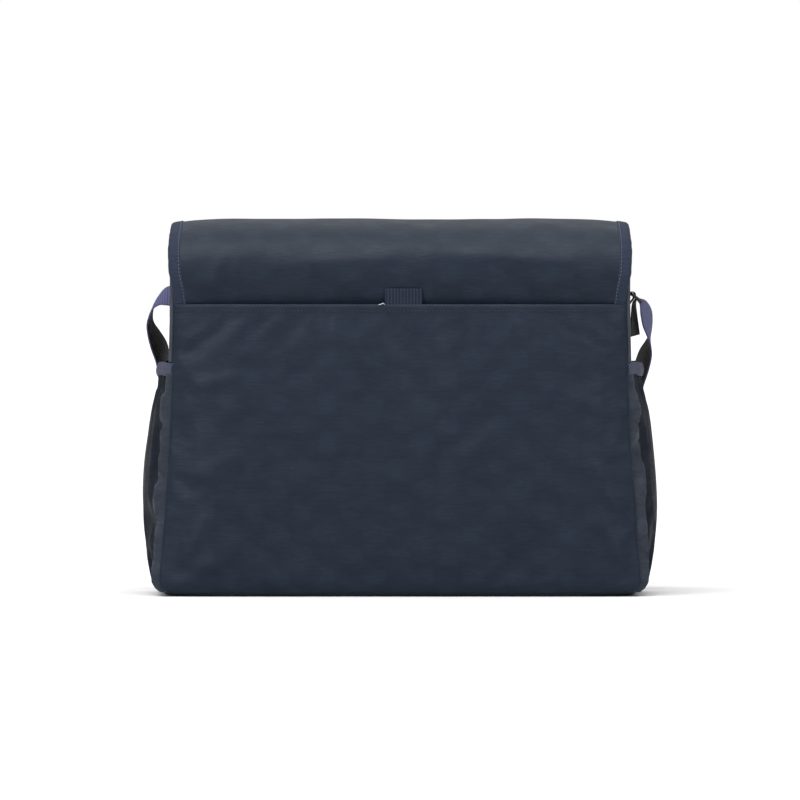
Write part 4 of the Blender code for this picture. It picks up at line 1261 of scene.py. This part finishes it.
def make_side_band(name, side, seed):
    """The elastic tape on the side pocket's mouth, gathered into small waves."""
    middle = (BAND[0][2] + BAND[1][2]) / 2
    stations = []
    for k in range(49):
        share = math.sin(math.pi * (k / 48 - 0.5))
        x = half_width(middle) - 0.0006 + band_reach(share) + 0.0004 * math.sin(21 * share + seed)
        slope = -3 * BAND_REACH * share * abs(share) / SIDE_HALF_DEPTH
        face = Vector((side, -slope, 0)).normalized()
        lean = Vector((-0.06 * side, 0, 1)).normalized()
        z = middle + 0.0005 * math.sin(9 * share + seed) - 0.0012 * (1 - share**2) ** 2
        stations.append((Vector((side * x, share * (SIDE_HALF_DEPTH + 0.0008), z)), lean, face))
    band = ribbon(
        f"side_band_{name}", stations, BAND_WIDTH, BAND_THICKNESS, [BAND_TAPE], steps=10, crown=0.0016
    )
    declare(band, "bag", "navy_tape", f"side_pocket_band_{name}")


# ---------------------------------------------------------------- front pocket, snaps, inner pockets
def slip_pocket(name, facing, slack, seam_y, material, slot, tape_node):
    """A slip pocket with a slack mouth, and the tape along it."""
    low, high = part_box(name)
    half = (high[0] - low[0]) / 2

    def place(u, v):
        side = 2 * u - 1
        x = side * half
        z = low[2] + (high[2] - low[2]) * v
        out = slack * (1 - abs(side) ** 8) * min(1.0, v * 6)
        out += 0.0007 * grain((x, z, seam_y), 20.0, 8.2) * (1 - side**6) * min(1.0, v * 4)
        return x, seam_y + facing * out, z

    piece = thick_sheet(f"{name}_cloth", grid_of(40, 80, place), LINING, (0, facing, 0), [material])
    declare(piece, "bag", slot, name)
    tape_low, tape_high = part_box(tape_node)
    z = (tape_low[2] + tape_high[2]) / 2
    stations = []
    for k in range(61):
        side = -1 + k / 30
        y = seam_y + facing * (slack * (1 - abs(side) ** 8) - LINING / 2)
        stations.append((Vector((side * half, y, z)), Vector((0, 0, 1)), Vector((0, facing, 0))))
    tape = ribbon(f"{name}_tape", stations, tape_high[2] - tape_low[2] + 0.0006, 0.0016, [TAPE])
    declare(tape, "bag", "navy_tape", tape_node)


def turned(name, profile, centre, axis_y, material, steps=40):
    """A round piece turned about a line along Y from a profile of radius and depth."""
    x, y, z = centre
    points = []
    for radius, depth in profile:
        for k in range(steps):
            angle = 2 * math.pi * k / steps
            points.append((x + radius * math.cos(angle), y + axis_y * depth, z + radius * math.sin(angle)))
    faces = skin(len(profile), steps)
    if axis_y > 0:
        faces = flipped(faces)
    return link_mesh(name, points, faces, None, [material], smooth_angle=35.0)


def make_snaps():
    """Two magnetic snaps, with sockets on the front pocket and studs on the flap."""
    rim = [(0.0086, 0.0), (0.0090, 0.0003), (0.0090, 0.0009)]
    kinds = {
        "socket": (
            "bag",
            1,
            rim + [(0.0084, 0.0014), (0.0062, 0.0016), (0.0056, 0.0012), (0.0040, 0.0012), (0.0036, 0.0015),
                   (0.0018, 0.0015), (0.0014, 0.0009)],
        ),
        "stud": (
            "flap_front",
            -1,
            rim + [(0.0082, 0.0014), (0.0050, 0.0015), (0.0030, 0.0017), (0.0012, 0.0017)],
        ),
    }
    for name in ("left", "right"):
        for kind, (body, facing, profile) in kinds.items():
            low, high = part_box(f"snap_{kind}_{name}")
            y = low[1] if facing > 0 else high[1]
            centre = ((low[0] + high[0]) / 2, y, (low[2] + high[2]) / 2)
            piece = turned(f"magnetic_{kind}_{name}", profile, centre, facing, METAL)
            declare(piece, body, "snap_metal", f"snap_{kind}_{name}")


def flat_piece(name, low, high, material, columns, rows):
    """A flat piece of cloth with rounded edges, thin along Y and facing the front."""
    def place(u, v):
        return low[0] + (high[0] - low[0]) * u, high[1], low[2] + (high[2] - low[2]) * v

    return thick_sheet(name, grid_of(rows, columns, place), high[1] - low[1], (0, 1, 0), [material])


def make_zip_teeth(name, low, high, seam, into, shift):
    """One row of teeth. into is -1 for the row below the seam and 1 for the row above it."""
    points = []
    faces = []
    for k in range(int((high[0] - low[0]) / TOOTH_PITCH) - 1):
        x = low[0] + TOOTH_PITCH * (k + 0.75) + shift
        first = len(points)
        for dx, dz in ((-0.0003, 0.0016), (0.0003, 0.0016), (0.0005, -0.0004), (-0.0005, -0.0004)):
            for dy in (0.0002, 0.0014):
                points.append((x + dx, low[1] + dy, seam + into * dz))
        for quad in ((0, 2, 3, 1), (2, 4, 5, 3), (4, 6, 7, 5), (6, 0, 1, 7), (1, 3, 5, 7), (0, 6, 4, 2)):
            face = tuple(first + corner for corner in quad)
            faces.append(face if into > 0 else face[::-1])
    return link_mesh(name, points, faces, None, [PLASTIC], smooth_angle=30.0)


def make_zip():
    for label, (low, high), into in (("lower", ZIP_LOWER, -1), ("upper", ZIP_UPPER, 1)):
        tape = flat_piece(f"zip_{label}_tape", low, (high[0], low[1] + 0.0006, high[2]), TAPE, 120, 6)
        declare(tape, "bag", "navy_tape", f"zip_tape_{label}")
        seam, shift = (high[2], 0.0) if into < 0 else (low[2], TOOTH_PITCH / 2)
        make_zip_teeth(f"zip_{label}_teeth", low, high, seam, into, shift).parent = tape
    low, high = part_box("zip_pocket_panel")
    panel = flat_piece("zip_pocket_cloth", low, high, LINING_CLOTH, 60, 30)
    declare(panel, "bag", "navy_lining", "zip_pocket_panel")
    make_slider()
    make_puller()


def rounded_square(count, half_x, half_z, power_x, power_z):
    """The outline of a rectangle with round corners, as count points of x and z about its middle."""
    outline = []
    for k in range(count):
        angle = 2 * math.pi * k / count
        x = half_x * signed_power(math.cos(angle), power_x)
        outline.append((x, half_z * signed_power(math.sin(angle), power_z)))
    return outline


def make_slider():
    """The zip's slider body, pinched at its waist."""
    low, high = SLIDER
    cx, cz = (low[0] + high[0]) / 2, (low[2] + high[2]) / 2
    count = 32
    outline = []
    for k, (x, z) in enumerate(rounded_square(count, 0.0053, 0.0038, 0.6, 0.6)):
        waist = 1 - 0.22 * abs(math.sin(2 * math.pi * k / count)) ** 4
        outline.append((x * waist, z))
    levels = ((0.86, low[1]), (1.0, low[1] + 0.0004), (1.0, high[1] - 0.0006), (0.82, high[1] - 0.0001))
    points = [(cx + x * s, y, cz + z * s) for s, y in levels for x, z in outline]
    faces = flipped(skin(len(levels), count))
    slider = link_mesh("zip_slider_body", points, faces, None, [METAL], smooth_angle=35.0)
    declare(slider, "zip_slider", "snap_metal", "zip_slider")


def make_puller():
    """The zip's puller, a tag with a hole that is narrower at its top."""
    low, high = PULLER
    cx, cz = (low[0] + high[0]) / 2, (low[2] + high[2]) / 2
    height = high[2] - low[2]
    count = 40
    outer = []
    for k, (x, z) in enumerate(rounded_square(count, 0.0035, height / 2, 0.5, 0.35)):
        taper = 1 - 0.25 * (math.sin(2 * math.pi * k / count) + 1) / 2
        outer.append((x * taper, z))
    inner = [(x, z - 0.001) for x, z in rounded_square(count, 0.0017, height * 0.27, 0.6, 0.5)]
    points = []
    for ring, y in ((outer, low[1]), (outer, high[1]), (inner, high[1]), (inner, low[1])):
        points += [(cx + x, y, cz + z) for x, z in ring]
    faces = flipped(skin(4, count, closed=True))
    puller = link_mesh("zip_puller_tag", points, faces, None, [METAL], smooth_angle=35.0)
    bevel = puller.modifiers.new("edges", "BEVEL")
    bevel.width = min(0.0003, (high[1] - low[1]) / 4)
    bevel.segments = 2
    declare(puller, "zip_puller", "snap_metal", "zip_puller")


# ---------------------------------------------------------------- shoulder strap
# The strap's route on each side, from its sewn end at the bag out and down to the ground.
# Each entry is a point of the middle line and the direction of the webbing's width.
LOWER_ROUTE = (
    ((0.1965, 0.081, 0.1600), (-0.10, 0.87, 0.45)),
    ((0.1965, 0.096, 0.1260), (-0.05, 0.92, 0.36)),
    ((0.1970, 0.108, 0.0880), (-0.05, 0.96, 0.25)),
    ((0.1955, 0.118, 0.0520), (-0.10, 0.97, 0.18)),
    ((0.1900, 0.127, 0.0230), (-0.20, 0.97, 0.10)),
    ((0.1760, 0.135, 0.0065), (-0.30, 0.95, 0.04)),
    ((0.1500, 0.142, 0.0024), (-0.28, 0.96, 0.00)),
    ((0.1100, 0.150, 0.0014), (-0.20, 0.98, 0.00)),
    ((0.0600, 0.156, 0.0014), (-0.10, 0.99, 0.00)),
)
MIDDLE_POINT = ((0.0000, 0.158, 0.0014), (0.00, 1.00, 0.00))
LEFT_ROUTE = (
    ((0.1895, -0.001, 0.2473), (0.00, 0.90, 0.43)),
    ((0.1950, 0.001, 0.2466), (0.00, 0.93, 0.36)),
    ((0.2000, 0.004, 0.2438), (0.00, 0.97, 0.22)),
    ((0.2052, 0.010, 0.2376), (-0.01, 0.99, 0.10)),
    ((0.2084, 0.020, 0.2276), (-0.08, 0.98, 0.16)),
    ((0.2078, 0.032, 0.2193), (-0.10, 0.96, 0.26)),
    ((0.2044, 0.045, 0.2100), (-0.15, 0.90, 0.38)),
    ((0.1998, 0.058, 0.1990), (-0.20, 0.87, 0.43)),
    ((0.1980, 0.068, 0.1860), (-0.20, 0.87, 0.44)),
)
RIGHT_ROUTE = (
    ((0.1974, 0.000, 0.2440), (0.02, 1.00, 0.04)),
    ((0.2018, 0.003, 0.2412), (0.14, 0.98, 0.08)),
    ((0.2046, 0.011, 0.2336), (0.24, 0.96, 0.12)),
    ((0.2064, 0.022, 0.2242), (0.22, 0.96, 0.14)),
    ((0.2085, 0.036, 0.2130), (0.07, 0.98, 0.16)),
    ((0.2080, 0.047, 0.2040), (-0.09, 0.95, 0.28)),
    ((0.2044, 0.059, 0.1930), (-0.18, 0.90, 0.38)),
    ((0.2000, 0.070, 0.1780), (-0.16, 0.88, 0.44)),
)


def smooth_through(points, steps):
    """A smooth curve through the points, with this many steps between each and the next."""
    ends = [points[0] * 2 - points[1]] + points + [points[-1] * 2 - points[-2]]
    curve = []
    for k in range(len(points) - 1):
        a, b, c, d = ends[k : k + 4]
        for step in range(steps):
            t = step / steps
            bend = (2 * a - 5 * b + 4 * c - d) * t**2 + (3 * b - a - 3 * c + d) * t**3
            curve.append(0.5 * (2 * b + (c - a) * t + bend))
    curve.append(points[-1])
    return curve


def make_strap():
    mirror = Vector((-1, 1, 1))
    left = [(Vector(p) * mirror, Vector(w) * mirror) for p, w in LEFT_ROUTE + LOWER_ROUTE]
    right = [(Vector(p), Vector(w)) for p, w in RIGHT_ROUTE + LOWER_ROUTE]
    whole = left + [(Vector(MIDDLE_POINT[0]), Vector(MIDDLE_POINT[1]))] + right[::-1]
    places = smooth_through([p for p, _ in whole], 10)
    widths = smooth_through([w.normalized() for _, w in whole], 10)
    stations = []
    for k, (centre, width) in enumerate(zip(places, widths)):
        width = width.normalized()
        stations.append((centre, width, direction_at(places, k).cross(width).normalized()))
    total = sum((after - before).length for before, after in zip(places, places[1:]))
    print(f"strap length {total:.3f} m")
    materials = [BLACK_WEBBING, WEBBING]
    strap = ribbon("strap_webbing_band", stations, STRAP_WIDTH, STRAP_THICKNESS, materials, two_sided=True)
    declare(strap, "strap", "strap_webbing", "shoulder_strap")


def make_strap_patch(name, side):
    """The webbing patch sewn to the gusset, with its box of stitches and the cross inside it."""
    low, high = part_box(f"strap_patch_{name}")
    x = low[0] if side < 0 else high[0]

    def place(u, v):
        return x, low[1] + (high[1] - low[1]) * u, low[2] + (high[2] - low[2]) * v

    grid = grid_of(24, 20, place)
    patch = thick_sheet(f"strap_patch_{name}_webbing", grid, STRAP_THICKNESS, (side, 0, 0), [WEBBING])
    declare(patch, "bag", "strap_webbing", f"strap_patch_{name}")
    inset = 0.0035
    y0, y1 = low[1] + inset, high[1] - inset
    z0, z1 = low[2] + inset, low[2] + 0.030
    for label, corners in (
        ("box", ((y0, z0), (y1, z0), (y1, z1), (y0, z1), (y0, z0))),
        ("cross", ((y0, z0), (y1, z1))),
        ("cross_back", ((y1, z0), (y0, z1))),
    ):
        path = [(x + side * 0.0001, y, z) for y, z in corners]
        stitches(f"strap_patch_{name}_{label}", path, [(side, 0, 0)] * len(path)).parent = patch


def rounded_outline(x_low, x_high, half_y, radius):
    """A rectangle's outline with rounded corners, in the plane of the buckle."""
    points = []
    for cx, cy, first in (
        (x_high - radius, half_y - radius, 0),
        (x_low + radius, half_y - radius, 90),
        (x_low + radius, radius - half_y, 180),
        (x_high - radius, radius - half_y, 270),
    ):
        for k in range(7):
            angle = math.radians(first + 15 * k)
            points.append((cx + radius * math.cos(angle), cy + radius * math.sin(angle), 0.0, 1.0))
    return points


def buckle_curve():
    """The buckle's outline and its two slots, as a flat curve with a thickness and rounded edges."""
    low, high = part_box("strap_buckle")
    half = (high[1] - low[1]) / 2
    curve = bpy.data.curves.new("buckle_outline", "CURVE")
    curve.dimensions = "2D"
    curve.fill_mode = "BOTH"
    curve.extrude = BUCKLE_BAR / 2 - BUCKLE_EDGE
    curve.bevel_depth = BUCKLE_EDGE
    curve.bevel_resolution = 3
    curve.offset = -BUCKLE_EDGE
    outlines = [rounded_outline(-BUCKLE_BAR, BUCKLE_LENGTH, half, 0.0016)]
    outlines += [rounded_outline(*slot, half - BUCKLE_BAR, 0.0007) for slot in BUCKLE_SLOTS]
    for outline in outlines:
        spline = curve.splines.new("POLY")
        spline.points.add(len(outline) - 1)
        for point, place in zip(spline.points, outline):
            point.co = place
        spline.use_cyclic_u = True
    return curve


def make_buckle():
    """A moulded slider buckle with two slots."""
    drawn = bpy.data.objects.new("buckle_outline", buckle_curve())
    bpy.context.scene.collection.objects.link(drawn)
    graph = bpy.context.evaluated_depsgraph_get()
    mesh = bpy.data.meshes.new_from_object(drawn.evaluated_get(graph))
    bpy.data.objects.remove(drawn)
    mesh.transform(Matrix.Translation(BUCKLE_IN) @ Matrix.Rotation(BUCKLE_SLOPE, 4, "Y"))
    mesh.materials.clear()
    mesh.materials.append(PLASTIC)
    mesh.shade_smooth()
    mesh.set_sharp_from_angle(angle=math.radians(35))
    buckle = bpy.data.objects.new("strap_buckle_frame", mesh)
    bpy.context.scene.collection.objects.link(buckle)
    declare(buckle, "strap", "black_plastic", "strap_buckle")


def make_buckle_loop():
    """The webbing that goes up from the patch, round the buckle's inner bar and down again."""
    centre = BUCKLE_IN - Vector((math.cos(BUCKLE_SLOPE), 0, -math.sin(BUCKLE_SLOPE))) * 0.0009
    path = [Vector((0.1894, 0.0, 0.2385)), Vector((0.1912, 0.0, 0.2414)), Vector((0.1932, 0.0, 0.2440))]
    for k in range(12):
        angle = LOOP_START + (LOOP_END - LOOP_START) * k / 11
        path.append(centre + Vector((math.cos(angle), 0, math.sin(angle))) * LOOP_RADIUS)
    path += [Vector((0.1896, 0.0, 0.2430)), Vector((0.1892, 0.0, 0.2385))]
    path = smooth_through(path, 4)
    stations = []
    for k, place in enumerate(path):
        ahead = direction_at(path, k)
        stations.append((place, Vector((0, 1, 0)), Vector((ahead.z, 0, -ahead.x))))
    loop = ribbon("strap_loop_webbing", stations, LOOP_WIDTH, LOOP_THICKNESS, [BLACK_WEBBING], steps=12)
    declare(loop, "strap", "strap_webbing", "strap_loop")


def make_tail():
    """The strap's free end, hanging beside the bag with its end cut at a slant."""
    low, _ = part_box("strap_free_end")
    top = STRAP_AXIS_Z - 0.0024
    stations = []
    for k in range(29):
        share = k / 28
        z = top - (top - low[2]) * share
        across = Vector((0.20 * share + 0.08, 0.97, 0.06 * share)).normalized()
        face = across.cross(Vector((0, 0, -1))).normalized()
        centre = Vector((0.1938 + 0.0012 * share + 0.0032 * math.exp(-14 * share), 0.0, z))
        stations.append((centre, across, face))
    tail = ribbon("strap_tail_webbing", stations, TAIL_WIDTH, TAIL_THICKNESS, [BLACK_WEBBING])
    declare(tail, "strap", "strap_webbing", "strap_free_end")


make_camera()
make_studio()
make_back_pocket()
make_pull_tab()
make_flap()
make_panel("back", -1)
make_panel("front", 1)
for side_name, side_sign in SIDES:
    make_gusset(side_name, side_sign)
make_base()
make_lining()
make_mouth_tape()
for (side_name, side_sign), fold_seed in zip(SIDES, SIDE_SEEDS):
    make_side_pocket(side_name, side_sign, fold_seed)
    make_side_band(side_name, side_sign, fold_seed)
slip_pocket("front_pocket", 1, 0.0044, 0.0630, NAVY, "navy_fabric", "front_pocket_binding")
slip_pocket("inner_pocket", -1, 0.0056, 0.0546, LINING_CLOTH, "navy_lining", "inner_pocket_elastic")
make_snaps()
make_zip()
make_strap()
for side_name, side_sign in SIDES:
    make_strap_patch(side_name, side_sign)
make_buckle()
make_buckle_loop()
make_tail()

boxes = {"cad": CAD_BOX, "visual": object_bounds()}
plain = {key: [[float(value) for value in corner] for corner in box] for key, box in boxes.items()}
